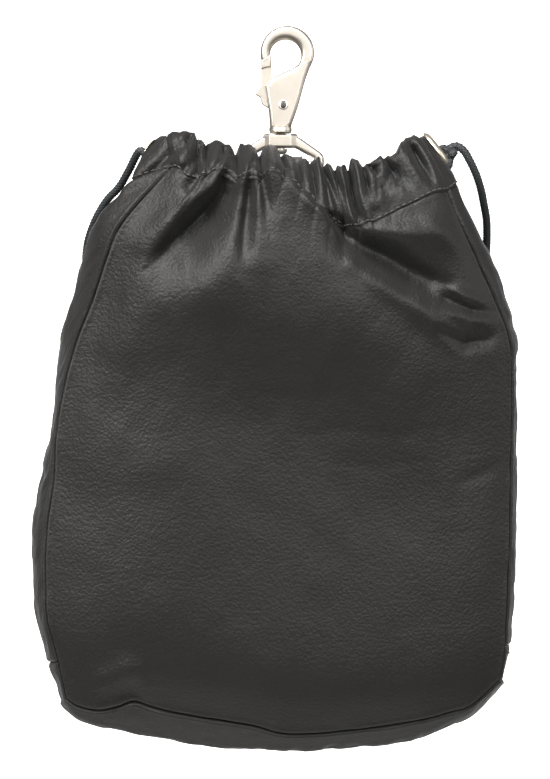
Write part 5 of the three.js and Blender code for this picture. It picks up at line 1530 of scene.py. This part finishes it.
@dataclass
class StitchRow:
    """A row of sewn stitches that follows a path, made with Geometry Nodes."""

    name: str
    path: Array
    closed: bool
    pitch: float
    length: float
    radius: float
    seed: int = 5

    def tree(self, material: bpy.types.Material) -> bpy.types.NodeTree:
        """Makes the node tree: points along the path, a short stitch on each, all made real."""
        tree = bpy.data.node_groups.new(self.name + "_nodes", "GeometryNodeTree")
        face = tree.interface
        face.new_socket("Geometry", in_out="INPUT", socket_type="NodeSocketGeometry")
        for name in ("Pitch", "Stitch Length", "Thread Radius"):
            face.new_socket(name, in_out="INPUT", socket_type="NodeSocketFloat")
        face.new_socket("Seed", in_out="INPUT", socket_type="NodeSocketInt")
        face.new_socket("Geometry", in_out="OUTPUT", socket_type="NodeSocketGeometry")
        given = add_node(tree, "NodeGroupInput").outputs
        points = add_node(tree, "GeometryNodeCurveToPoints", {"Curve": given["Geometry"],
                                                              "Length": given["Pitch"]}, mode="LENGTH")
        half = add_node(tree, "ShaderNodeMath", {0: given["Stitch Length"], 1: 0.5}, operation="MULTIPLY")
        size = add_node(tree, "ShaderNodeCombineXYZ", {"X": given["Thread Radius"], "Y": given["Thread Radius"],
                                                       "Z": half.outputs[0]})
        ball = add_node(tree, "GeometryNodeMeshUVSphere", {"Segments": 8, "Rings": 7, "Radius": 1.0})
        stitch = add_node(tree, "GeometryNodeTransform", {"Geometry": ball.outputs["Mesh"],
                                                          "Scale": size.outputs[0]})
        vary = add_node(tree, "FunctionNodeRandomValue", {"Seed": given["Seed"]}, data_type="FLOAT")
        vary.inputs[2].default_value, vary.inputs[3].default_value = 0.86, 1.1
        placed = add_node(tree, "GeometryNodeInstanceOnPoints", {"Points": points.outputs["Points"],
                                                                 "Instance": stitch.outputs["Geometry"],
                                                                 "Rotation": points.outputs["Rotation"],
                                                                 "Scale": vary.outputs[1]})
        real = add_node(tree, "GeometryNodeRealizeInstances", {"Geometry": placed.outputs["Instances"]})
        soft = add_node(tree, "GeometryNodeSetShadeSmooth", {"Geometry": real.outputs["Geometry"]})
        done = add_node(tree, "GeometryNodeSetMaterial", {"Geometry": soft.outputs["Geometry"],
                                                          "Material": material})
        add_node(tree, "NodeGroupOutput", {"Geometry": done.outputs["Geometry"]})
        return tree

    def build(self, material: bpy.types.Material) -> bpy.types.Object:
        """Lays the path, runs the tree on it and keeps the plain mesh."""
        curve = bpy.data.curves.new(self.name, "CURVE")
        curve.dimensions = "3D"
        line = curve.splines.new("POLY")
        line.points.add(len(self.path) - 1)
        line.points.foreach_set("co", np.hstack([self.path * MM, np.ones((len(self.path), 1))]).ravel())
        line.use_cyclic_u = self.closed
        piece = bpy.data.objects.new(self.name, curve)
        bpy.context.scene.collection.objects.link(piece)
        modifier = piece.modifiers.new("stitches", "NODES")
        tree = self.tree(material)
        values = {"Pitch": self.pitch * MM, "Stitch Length": self.length * MM,
                  "Thread Radius": self.radius * MM, "Seed": self.seed}
        modifier.node_group = tree
        for socket in tree.interface.items_tree:
            if socket.in_out == "INPUT" and socket.name in values:
                modifier[socket.identifier] = values[socket.name]
        plain = baked(piece)
        add_values(plain, "strand", np.ones(len(plain.data.vertices)))
        return plain


@dataclass
class JoinStitches:
    """Topstitching across the band below each gusset, where it is sewn to the base strip."""

    leather: LeatherBody
    below: float = 3.4

    def build(self, finishes: Finishes) -> None:
        """Sews one short row on the left and one on the right."""
        body = self.leather
        for name, join, sign in (("left_join_stitches", body.join_share, 1),
                                 ("right_join_stitches", 3 - body.join_share, -1)):
            place = np.array([join + sign * self.below / 215.0])
            deep = np.linspace(0.06, 0.94, 60)
            whole = body.form.band(np.repeat(place, 2), np.concatenate([[0], deep, [1]]))[0][1:-1]
            outward = unit(np.array([-1.0 if sign > 0 else 1.0, 0.0, -0.5]))
            row = StitchRow(name, whole + outward * 0.15, False, 2.7, 2.1, 0.27)
            finish_piece(row.build(finishes.thread), [finishes.thread], Body.POUCH)


def grommet_turns(form: PouchForm) -> tuple[float, float]:
    """Turns of the neck at which the right and the left grommet sit."""
    return (form.front_end + form.right_end) / 2, (form.back_end + 1) / 2


@dataclass
class KeeperTab:
    """The strap folded round the ring's bar and sewn down inside the back of the casing."""

    width: float = 17.0
    length: float = 25.0
    thick: float = 1.45
    bar_drop: float = 48.75
    eye: float = 2.15
    side: float = -1.37

    def build(self, finishes: Finishes) -> None:
        """Sweeps the strap's rounded section along its folded line."""
        middle = self.eye + 0.05 + self.thick / 2
        spread_angle = math.asin((self.thick / 2 + 0.05) / middle)
        angles = np.linspace(-math.pi / 2 + spread_angle, 1.5 * math.pi - spread_angle, 60)
        eye = np.stack([middle * np.cos(angles), middle * np.sin(angles)], -1)
        foot = -self.length
        legs = np.linspace(foot, eye[0, 1], 16)[:-1]
        front = np.stack([np.full(15, eye[0, 0]), legs], -1)
        back = np.stack([np.full(15, eye[-1, 0]), legs[::-1]], -1)
        line = np.concatenate([front, eye, back])
        tangents = unit(np.gradient(line, axis=0))
        normals = np.stack([tangents[:, 1], -tangents[:, 0]], -1)
        half, edge = self.thick / 2, 0.45
        turns = np.linspace(0, np.pi / 2, 4)
        corner = np.stack([np.cos(turns), np.sin(turns)], -1) * edge
        right = np.concatenate([corner * [1, -1] + [self.width / 2 - edge, -half + edge],
                                corner[::-1] + [self.width / 2 - edge, half - edge]])[::-1]
        ring = np.concatenate([right, -right])
        points = np.zeros((len(line), len(ring), 3))
        points[..., 0] = self.side + ring[None, :, 0]
        points[..., 1] = line[:, None, 0] + normals[:, None, 0] * ring[None, :, 1]
        points[..., 2] = -self.bar_drop + line[:, None, 1] + normals[:, None, 1] * ring[None, :, 1]
        piece = new_object("keeper_tab_leather", points.reshape(-1, 3), tube_faces(len(line), len(ring)))
        face_outwards(piece)
        piece.data.set_sharp_from_angle(angle=math.radians(50))
        edges = np.abs(np.abs(points[..., 0] - self.side) - self.width / 2)
        # painted highlight along the strap's rounded edges
        add_values(piece, "painted_edge_highlight", 0.5 * np.exp(-edges / 0.3))
        add_values(piece, "crumple", np.full(points.shape[:2], 0.2))
        finish_piece(piece, [finishes.tab_hide], Body.POUCH, ("keeper_tab",))


# Cord

@dataclass
class DrawCord:
    """Braided cord: out of the right grommet through a knot, down behind the pouch and back up
    into the left grommet, with a short tail under the knot."""

    form: PouchForm
    diameter: float = 3.2
    sides: int = 40
    step: float = 0.34
    carriers: int = 6
    turn_length: float = 8.4
    bore_rest: float = 1.3

    def hole(self, turn: float, reach: float) -> Array:
        """Point on the lower side of a grommet's bore, at a distance out along its axis."""
        face, out, up = self.form.grommet_place(turn)
        return face + out * reach - up * self.bore_rest

    def braid(self, path: Array) -> tuple[Array, Array]:
        """Radius of each point of the cord and how high it stands on its strand."""
        angle = 2 * np.pi * np.arange(self.sides) / self.sides
        run = np.arange(len(path)) * self.step
        twist = 2 * np.pi * run[:, None] / self.turn_length
        n = self.carriers / 2
        crossing = np.cos(n * (angle[None] + twist)) * np.cos(n * (angle[None] - twist))
        strand = np.abs(crossing) ** 0.8
        return 0.5 * self.diameter * (0.82 + 0.24 * strand), strand

    def tube(self, name: str, path: Array) -> bpy.types.Object:
        """A length of braided cord along a path."""
        radius, strand = self.braid(path)
        radius, strand = radius.copy(), strand.copy()
        for k, shrink in enumerate((0.55, 0.85, 0.97)):
            radius[k] *= shrink
            radius[-1 - k] *= shrink
        points = swept_tube(path, radius, self.sides)
        piece = new_object(name, points.reshape(-1, 3), tube_faces(len(path), self.sides))
        face_outwards(piece)
        add_values(piece, "strand", strand)
        return piece

    def build(self, finishes: Finishes) -> None:
        right, left = grommet_turns(self.form)
        ends = [self.hole(left, 3.4), self.hole(left, 1.2), self.hole(left, -3.2)]
        start = np.array(KNOT_CENTRE) + np.array([[-0.6, 0.6, 0.5]])
        route = smooth_route(np.vstack([start, np.array(CORD_POINTS), ends]), self.step)
        cord = self.tube("draw_cord_braid", route)
        knot = self.knot(right)
        finish_piece(cord, [finishes.braid], Body.POUCH, ("drawcord",))
        finish_piece(knot, [finishes.braid], Body.POUCH, ("cord_knot",))

    def knot(self, turn: float) -> bpy.types.Object:
        """The overhand knot with its lead out of the bore and its cut tail."""
        centre = np.array(KNOT_CENTRE)
        lead = [self.hole(turn, -3.2), self.hole(turn, 1.0), self.hole(turn, 2.6)]
        tail = [np.array(p) for p in TAIL_POINTS]
        turns = np.linspace(0.45, 2 * np.pi - 0.45, 26)
        loop = [centre + np.array([0.74 * (np.sin(t) + 2 * np.sin(2 * t)), -1.7 * np.sin(3 * t),
                                   0.62 * (np.cos(t) - 2 * np.cos(2 * t))]) for t in turns]
        path = smooth_route(np.vstack(lead + loop + tail), self.step)
        return self.tube("cord_knot_braid", path)


# Metal parts

def arc(centre: tuple, radius: float, first: float, last: float, steps: int) -> Array:
    """Points of an arc in a flat outline, between two angles in degrees."""
    angles = np.radians(np.linspace(first, last, steps))
    return np.stack([centre[0] + radius * np.cos(angles), centre[1] + radius * np.sin(angles)], -1)


def bend(start: tuple, control: tuple, end: tuple, steps: int = 14) -> Array:
    """Points of a quadratic curve in a flat outline."""
    t = np.linspace(0, 1, steps)[:, None]
    a, b, c = (np.array(p) for p in (start, control, end))
    return (1 - t) ** 2 * a + 2 * t * (1 - t) * b + t ** 2 * c


def plate(name: str, outline: Array, thick: float, bevel: float, holes: tuple = ()) -> bpy.types.Object:
    """Makes a flat part that stands in the XZ plane, centred on y = 0, with rounded edges.

    Args:
        name: the piece's name.
        outline: x and z of the outline's points, in mm.
        thick: thickness in mm.
        bevel: radius of the rounded edges in mm.
        holes: outlines of the openings.

    Returns:
        The part as a plain mesh.
    """
    curve = bpy.data.curves.new(name, "CURVE")
    curve.dimensions, curve.fill_mode = "2D", "BOTH"
    curve.extrude = (thick / 2 - bevel) * MM
    curve.bevel_depth, curve.offset, curve.bevel_resolution = bevel * MM, -bevel * MM, 4
    for points in (outline, *holes):
        line = curve.splines.new("POLY")
        steps = np.linalg.norm(points - np.roll(points, 1, 0), axis=1)
        points = np.asarray(points)[steps > 1e-4]
        line.points.add(len(points) - 1)
        rows = np.column_stack([points * MM, np.zeros(len(points)), np.ones(len(points))])
        line.points.foreach_set("co", rows.ravel())
        line.use_cyclic_u = True
    piece = bpy.data.objects.new(name, curve)
    bpy.context.scene.collection.objects.link(piece)
    plain = baked(piece)
    plain.data.transform(Matrix.Rotation(math.radians(90), 4, "X"))
    face_outwards(plain, 0.002)
    return plain


def lathe(name: str, profile: Array, sides: int = 64, closed: bool = False) -> bpy.types.Object:
    """Turns a profile of radii and heights, in mm, about the Z axis."""
    angles = 2 * np.pi * np.arange(sides) / sides
    profile = np.asarray(profile, float)
    points = np.stack([profile[:, None, 0] * np.cos(angles), profile[:, None, 0] * np.sin(angles),
                       np.broadcast_to(profile[:, None, 1], (len(profile), sides))], -1)
    piece = new_object(name, points.reshape(-1, 3), tube_faces(len(profile), sides, closed))
    face_outwards(piece, 0.002)
    return piece


def rounded(profile: list, radius: float, steps: int = 4, closed: bool = False) -> Array:
    """Rounds the corners of a profile or outline by a radius in mm."""
    points = [np.array(p, float) for p in profile]
    done = []
    for k, here in enumerate(points):
        if not closed and k in (0, len(points) - 1):
            done.append(here)
            continue
        before, after = points[k - 1] - here, points[(k + 1) % len(points)] - here
        reach = min(radius, 0.45 * np.linalg.norm(before), 0.45 * np.linalg.norm(after))
        done += list(bend(here + unit(before) * reach, here, here + unit(after) * reach, steps))
    return np.array(done)


def placed(piece: bpy.types.Object, matrix: Matrix) -> bpy.types.Object:
    """Moves a piece's points by a matrix whose lengths are in mm."""
    shift = matrix.copy()
    shift.translation *= MM
    piece.data.transform(shift)
    return piece


def combined(piece: bpy.types.Object, others: list, operation: str) -> bpy.types.Object:
    """Joins others to a piece, or cuts them from it, and removes them."""
    for other in others:
        modifier = piece.modifiers.new("shape", "BOOLEAN")
        modifier.operation, modifier.solver, modifier.object = operation, "EXACT", other
    plain = baked(piece)
    for other in others:
        bpy.data.objects.remove(other)
    return plain


def merged(piece: bpy.types.Object, other: bpy.types.Object) -> bpy.types.Object:
    """Adds another piece's surface to a piece as a shell of its own, with no cut between them."""
    work = bmesh.new()
    for part in (piece, other):
        work.from_mesh(part.data)
    work.to_mesh(piece.data)
    work.free()
    bpy.data.objects.remove(other, do_unlink=True)
    return piece


def even_shading(piece: bpy.types.Object, sharp: float = 40.0) -> bpy.types.Object:
    """Shades the flats flat and the rounded edges round, with edges over an angle kept sharp."""
    piece.data.shade_smooth()
    piece.data.set_sharp_from_angle(angle=math.radians(sharp))
    modifier = piece.modifiers.new("even", "WEIGHTED_NORMAL")
    modifier.keep_sharp, modifier.weight = True, 90
    return baked(piece)


@dataclass
class SnapHook:
    """The cast hook with its swivel shank, the gate in its slot and the gate's pin."""

    thick: float = 6.0
    bevel: float = 1.7
    outer: float = 10.5
    inner: float = 6.1
    body: float = 33.7
    eye: float = 14.0
    neck: float = 8.2
    neck_side: float = -1.37
    arch_side: float = 0.6
    arch_shift: float = 0.7
    arch_rise: float = 1.0
    gate_thick: float = 2.2
    arm_width: float = 3.8
    arm_thick: float = 3.8
    hub: float = 2.5
    pin: float = 1.15
    pin_side: float = -0.25
    collar: float = 4.5
    collar_thick: float = 2.6
    shank: float = 1.6
    rivet: float = 2.6
    rivet_thick: float = 2.2
    block: float = 5.6
    fit: float = 0.3

    def __post_init__(self) -> None:
        """Works out the places that follow from the sizes."""
        self.arch_z = -self.inner
        self.pin_drop = 0.7537 * self.body
        self.rivet_top = self.body + self.collar_thick + self.block + 2 * self.fit

    def outline(self) -> Array:
        """Outline of the hook: arch, nose, cheeks and neck."""
        left, right = self.neck_side - self.neck / 2, self.neck_side + self.neck / 2
        centre = (self.arch_side + self.arch_shift, self.arch_z + self.arch_rise)
        outer = arc(centre, self.outer, 196, -16, 96)
        waist = (right + 0.53 * self.neck, self.arch_z - 0.42 * self.body)
        inner = arc((self.arch_side, self.arch_z), self.inner, -24, 177.6, 72)
        foot = (left + 0.09 * self.neck, -1.07 * self.eye)
        return np.vstack([
            outer,
            bend(outer[-1], (centre[0] + 0.7 * self.outer, self.arch_z - 0.225 * self.body), waist),
            bend(waist, (right + 0.3 * self.neck, self.arch_z - 0.635 * self.body), (right, -self.body)),
            [(right - 0.14 * self.neck, -1.045 * self.body), (left + 0.14 * self.neck, -1.045 * self.body),
             (left, -self.body), (left - 0.05 * self.neck, -0.84 * self.body),
             (left - 0.23 * self.neck, -0.54 * self.body)],
            foot,
            bend((0.25 * self.eye, -0.79 * self.eye), (0.4 * self.eye, -0.72 * self.eye), inner[0]),
            inner,
        ])

    def lower_outline(self) -> Array:
        """Outline of the hook below its arch."""
        whole = self.outline()
        low = whole[91:-71]
        return np.vstack([low, (whole[-71], whole[-68] * 0.5 + whole[-71] * 0.5)])

    def arch(self) -> bpy.types.Object:
        """The arch, swept from the nose round to the right limb with a half-round inner side."""
        angles = np.linspace(0, 1, 90)
        outer = arc((self.arch_side + self.arch_shift, self.arch_z + self.arch_rise), self.outer, 196, -18, 90)
        inner = arc((self.arch_side, self.arch_z), self.inner, 177.6, -24, 90)
        half, soft = self.thick / 2, self.bevel
        turns = np.radians(np.linspace(0, 90, 7))
        rings = []
        for share, a, b in zip(angles, outer, inner):
            wide = np.linalg.norm(b - a)
            round_in = 2.5 - 1.2 * ease((share - 0.72) / 0.28)
            out_side = [(soft * (1 - np.cos(t)), half - soft + soft * np.sin(t)) for t in turns]
            in_side = [(wide - round_in + round_in * np.sin(t), half - round_in + round_in * np.cos(t))
                       for t in turns]
            top = out_side + in_side
            section = np.array(top + [(u, -y) for u, y in top[::-1]])
            along = (b - a) / wide
            flat = a + along * section[:, :1]
            rings.append(np.stack([flat[:, 0], section[:, 1], flat[:, 1]], -1))
        points = np.array(rings)
        piece = new_object("arch", points.reshape(-1, 3), tube_faces(len(points), points.shape[1]))
        face_outwards(piece, 0.002)
        return piece

    def slot(self) -> bpy.types.Object:
        """Cutter for the room between the cheeks."""
        side = self.neck_side - 1.5 * self.neck
        foot = -self.pin_drop - self.hub - 1.1
        line = np.array([
            (side, foot), (self.pin_side - 0.8 * self.hub, foot),
            (self.pin_side + 1.36 * self.hub, foot + 0.16 * self.hub),
            (self.pin_side + 2 * self.hub, -0.36 * self.body), (side, -0.4 * self.body)])
        return plate("slot", line, self.gate_thick + 2 * self.fit, 0)

    def hole(self) -> bpy.types.Object:
        """Cutter for the pin's hole."""
        rod = lathe("hole", [(self.pin + self.fit, -self.thick), (self.pin + self.fit, self.thick)], 48)
        turn = Matrix.Translation((self.pin_side, 0, -self.pin_drop)) @ Matrix.Rotation(math.pi / 2, 4, "X")
        return placed(rod, turn)

    def turned(self) -> bpy.types.Object:
        """Collar with its two grooves, shank and riveted end."""
        foot, top, low = -self.body, -self.rivet_top, -self.rivet_top - self.rivet_thick
        c = self.collar
        groove = [(0.93 * c, foot - 0.15), (0.93 * c, foot - 0.35), (0.97 * c, foot - 0.5),
                  (c, foot - 1.75), (0.93 * c, foot - 1.95), (0.93 * c, foot - 2.15), (c, foot - 2.3)]
        profile = [(0, low), (0.55 * self.rivet, low + 0.05), (0.86 * self.rivet, low + 0.45),
                   (self.rivet, top - 1.0),
                   (self.rivet, top), (self.shank, top), (self.shank, foot - self.collar_thick),
                   (0.96 * c, foot - self.collar_thick), *groove[::-1], (0.96 * c, foot),
                   (self.shank, foot + 0.2), (self.shank, foot + 1.5), (0, foot + 1.5)]
        part = lathe("turned", profile, 56)
        return placed(part, Matrix.Translation((self.neck_side, 0, 0)))

    def gate(self) -> bpy.types.Object:
        """The gate: arm, thumb tab with its two teeth, and hub."""
        left = self.arch_side - 1.56 * self.inner
        wide, body = self.arm_width, self.body
        right = left + wide
        left_top, right_top = -8.0, -5.8
        start = (left + 0.31 * wide, -0.762 * body)
        end = (self.pin_side - 0.16 * self.hub, -self.pin_drop - self.hub)
        teeth = rounded([(left, left_top), (left + 0.1, -17.9), (-11.3, -20.8), (-11.0, -21.6), (-9.3, -22.3),
                         (-8.9, -24.3), (-8.5, -25.1), start], 0.5)
        line = np.vstack([
            teeth, bend(start, (self.pin_side - 1.6 * self.hub, -self.pin_drop - 1.04 * self.hub), end),
            arc((self.pin_side, -self.pin_drop), self.hub, -90, 18, 24),
            [(right + 0.12 * wide, -0.47 * body), (right, right_top)]])
        lever = plate("gate_lever", line, self.gate_thick, 0.35)
        thick = np.array([(left, left_top), (left, -0.34 * body), (right, -0.31 * body), (right, right_top)])
        arm = plate("gate_arm", thick, self.arm_thick, 0.6)
        nose = [placed(plate("nose", self.outline(), 1.2 * self.thick, 0), Matrix.Translation(shift))
                for shift in ((0, 0, 0), (0, 0, -self.fit), (self.fit, 0, -self.fit))]
        for cutter in nose:
            bmesh_below(cutter, self.arch_z - 0.5 * self.inner)
        whole = combined(lever, [arm], "UNION")
        return combined(whole, [*nose, self.hole()], "DIFFERENCE")

    def build(self, finishes: Finishes) -> None:
        """Builds and dresses the hook, the gate and the pin."""
        body = plate("hook_cast", self.lower_outline(), self.thick, self.bevel)
        bore = self.pin + self.fit
        rim = lathe("rim", [(bore, -0.3), (1.9, -0.3), (1.95, 0.12), (1.75, 0.28), (bore, 0.28)], 48, True)
        upright = Matrix.Rotation(math.pi / 2, 4, "X")
        turn = Matrix.Translation((self.pin_side, -self.thick / 2, -self.pin_drop)) @ upright
        body = combined(body, [self.slot(), self.hole()], "DIFFERENCE")
        for part in (self.arch(), self.turned(), placed(rim, turn)):
            body = merged(body, part)
        body = even_shading(body)
        body.name = "hook_casting"
        gate = even_shading(self.gate())
        gate.name = "gate_lever"
        half = self.thick / 2
        ends = [(0, -half - 0.2), (0.8 * self.pin, -half - 0.2), (self.pin, -half + 0.1),
                (self.pin, half - 0.1), (0.8 * self.pin, half + 0.2), (0, half + 0.2)]
        pin = lathe("gate_rivet", rounded(ends, 0.2), 40)
        placed(pin, Matrix.Translation((self.pin_side, 0, -self.pin_drop)) @ upright)
        finish_piece(body, [finishes.nickel], Body.HOOK, ("hook_body",))
        finish_piece(gate, [finishes.nickel], Body.GATE, ("gate",))
        finish_piece(pin, [finishes.pin], Body.HOOK, ("gate_pin",))


def bmesh_below(piece: bpy.types.Object, height: float) -> None:
    """Keeps only what lies above a height in mm, and closes the cut."""
    work = bmesh.new()
    work.from_mesh(piece.data)
    whole = work.verts[:] + work.edges[:] + work.faces[:]
    cut = bmesh.ops.bisect_plane(work, geom=whole, plane_co=(0, 0, height * MM), plane_no=(0, 0, 1),
                                 clear_inner=True)
    edges = [item for item in cut["geom_cut"] if isinstance(item, bmesh.types.BMEdge)]
    bmesh.ops.holes_fill(work, edges=edges)
    bmesh.ops.recalc_face_normals(work, faces=work.faces)
    work.to_mesh(piece.data)
    work.free()


@dataclass
class SwivelRing:
    """The bored block and the five-sided ring under the hook."""

    width: float = 34.0
    wire: float = 3.1
    block_width: float = 13.6
    block_height: float = 5.6
    block_thick: float = 6.4
    bar_drop: float = 48.75
    side: float = -1.37
    top: float = -36.6
    bore: float = 1.9

    def build(self, finishes: Finishes) -> None:
        """Builds and dresses the ring."""
        half, foot = self.width / 2, -self.bar_drop - self.wire / 2
        shoulder = foot + 5.5
        arm_top = self.top - 0.18 * self.block_height
        arm_foot = self.top - self.block_height + 0.1
        inner = half - self.wire
        outside = [(-0.5 * self.block_width, arm_top), (-half, shoulder), (-half, foot), (half, foot),
                   (half, shoulder), (0.5 * self.block_width, arm_top)]
        inside = [(-0.4 * self.block_width, arm_foot), (0.4 * self.block_width, arm_foot),
                  (inner - 0.8, foot + self.wire + 0.9), (inner - 1.2, foot + self.wire),
                  (1.2 - inner, foot + self.wire), (0.8 - inner, foot + self.wire + 0.9)]
        shift = np.array([self.side, 0.0])
        frame_part = plate("ring_frame", rounded(outside, 2.0, 6, True) + shift, self.wire, 1.35,
                           (rounded(inside, 1.2, 6, True) + shift,))
        wide, deep = self.block_width / 2, self.block_thick / 2
        top, low = self.top, self.top - self.block_height
        plan = np.array([(-wide, -0.3 * deep), (-0.62 * wide, -deep), (0.62 * wide, -deep), (wide, -0.3 * deep),
                         (wide, 0.3 * deep), (0.62 * wide, deep), (-0.62 * wide, deep), (-wide, 0.3 * deep)])
        block = plate("ring_block", rounded(list(plan), 0.35, 4, True), self.block_height, 1.1)
        placed(block, Matrix.Translation((self.side, 0, (top + low) / 2)) @ Matrix.Rotation(math.pi / 2, 4, "X"))
        ring = even_shading(merged(self.bored(frame_part), self.bored(block)))
        ring.name = "swivel_ring_casting"
        finish_piece(ring, [finishes.nickel], Body.RING, ("swivel_ring",))

    def bored(self, piece: bpy.types.Object) -> bpy.types.Object:
        """Cuts the shank's bore through a piece."""
        shaft = lathe("shaft", [(self.bore, self.top - 15), (self.bore, self.top + 5)], 48)
        return combined(piece, [placed(shaft, Matrix.Translation((self.side, 0, 0)))], "DIFFERENCE")


@dataclass
class Grommet:
    """A pressed grommet: rolled flange outside the casing and a barrel through its outer ply."""

    form: PouchForm
    outer: float = 8.0
    bore: float = 3.2
    wall: float = 1.1
    barrel: float = 2.0
    flange: float = 1.1
    low: float = -0.2

    def build(self, name: str, node: str, turn: float, finishes: Finishes) -> None:
        """Builds and dresses one grommet at a turn of the neck."""
        wide = self.outer - self.bore
        angles = np.radians(np.linspace(0, 180, 20))
        dome = np.stack([self.bore + wide / 2 + wide / 2 * np.cos(angles),
                         self.low + self.flange * np.sin(angles)], -1)
        profile = [(self.bore, -self.barrel), (self.bore + self.wall, -self.barrel),
                   (self.bore + self.wall, self.low), (self.outer, self.low), *dome[1:-1], (self.bore, self.low)]
        piece = lathe(name, profile, 64, closed=True)
        face, out, _ = self.form.grommet_place(turn)
        turn_to = Vector((0, 0, 1)).rotation_difference(Vector(out.tolist())).to_matrix().to_4x4()
        placed(piece, Matrix.Translation(face.tolist()) @ turn_to)
        piece = even_shading(piece)
        piece.name = name
        finish_piece(piece, [finishes.grommet], Body.POUCH, (node,))


# Studio

@dataclass
class Studio:
    """Camera in front, white backdrop and floor, and large soft lights from above and the left."""

    lens: float = 250.0
    distance: float = 2109.7
    aim_x: float = -3.5
    aim_z: float = -136.3
    surround: float = 0.12

    def place_camera(self) -> None:
        """Sets the camera level with the pouch, square to its front."""
        camera = bpy.data.cameras.new("camera")
        camera.lens, camera.sensor_width, camera.sensor_fit = self.lens, 36.0, "AUTO"
        camera.clip_start, camera.clip_end = 0.05, 20.0
        item = bpy.data.objects.new("camera", camera)
        item.location = (self.aim_x * MM, -self.distance * MM, self.aim_z * MM)
        item.rotation_euler = (math.pi / 2, 0, 0)
        bpy.context.scene.collection.objects.link(item)
        bpy.context.scene.camera = item

    def softbox(self, name: str, place: tuple, size: tuple, radiance: float) -> None:
        """Hangs a soft light of an even brightness, aimed at the middle of the pouch."""
        light = bpy.data.lights.new(name, "AREA")
        light.shape, light.size, light.size_y = "RECTANGLE", size[0], size[1]
        light.energy = radiance * math.pi * size[0] * size[1]
        item = bpy.data.objects.new(name, light)
        item.location = place
        towards = Vector((self.aim_x * MM, 0, self.aim_z * MM)) - Vector(place)
        item.rotation_euler = towards.to_track_quat("-Z", "Y").to_euler()
        bpy.context.scene.collection.objects.link(item)

    def sheet(self, name: str, corners: list, glow: float) -> None:
        """Lays a white sheet that isn't part of the object."""
        piece = new_object(name, np.array(corners), [[0, 1, 2, 3]], smooth=False)
        material = bpy.data.materials.new(name + " paper")
        material.use_nodes = True
        surface = material.node_tree.nodes["Principled BSDF"]
        surface.inputs["Base Color"].default_value = linear("#f2f1ee")
        surface.inputs["Roughness"].default_value = 0.9
        surface.inputs["Emission Color"].default_value = linear("#ffffff")
        surface.inputs["Emission Strength"].default_value = glow
        piece.data.materials.append(material)

    def light(self) -> None:
        """Sets the lights, the sheets, the surround and the way colours are shown."""
        scene = bpy.context.scene
        scene.view_settings.view_transform = "Standard"
        world = bpy.data.worlds.new("surround")
        scene.world = world
        world.use_nodes = True
        background = world.node_tree.nodes["Background"]
        background.inputs["Color"].default_value = linear("#ffffff")
        background.inputs["Strength"].default_value = self.surround
        self.softbox("key", (-1.35, -1.3, 0.7), (0.9, 0.9), 16.0)
        self.softbox("overhead", (-0.25, -0.85, 1.2), (1.2, 0.8), 14.0)
        self.softbox("front", (0.25, -2.7, 0.35), (1.5, 0.8), 2.2)
        self.softbox("side", (1.15, -1.9, 0.5), (0.7, 0.8), 12.0)
        self.softbox("edge", (2.0, -0.3, 0.1), (1.0, 1.2), 2.4)
        self.sheet("backdrop", [(-520, 1300, -700), (520, 1300, -700), (520, 1300, 480),
                                (-520, 1300, 480)], 1.0)
        self.sheet("floor", [(-1200, -900, -1500), (1200, -900, -1500), (1200, 1400, -1500),
                             (-1200, 1400, -1500)], 0.0)


def main() -> None:
    """Builds every sub-assembly in order, with the camera and the lights."""
    logging.basicConfig(level=logging.INFO, format="%(message)s")
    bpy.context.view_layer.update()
    studio = Studio()
    studio.place_camera()
    form, finishes = PouchForm(), Finishes()
    DrawCord(form).build(finishes)
    leather = LeatherBody(form)
    leather.build(finishes)
    HemCasing(form).build(finishes)
    JoinStitches(leather).build(finishes)
    KeeperTab().build(finishes)
    SnapHook().build(finishes)
    SwivelRing().build(finishes)
    right, left = grommet_turns(form)
    Grommet(form, flange=1.9).build("right_grommet_ring", "right_grommet", right, finishes)
    Grommet(form, outer=5.6, flange=0.7, low=-0.5).build("left_grommet_ring", "left_grommet", left, finishes)
    studio.light()


if __name__ == "__main__":
    main()
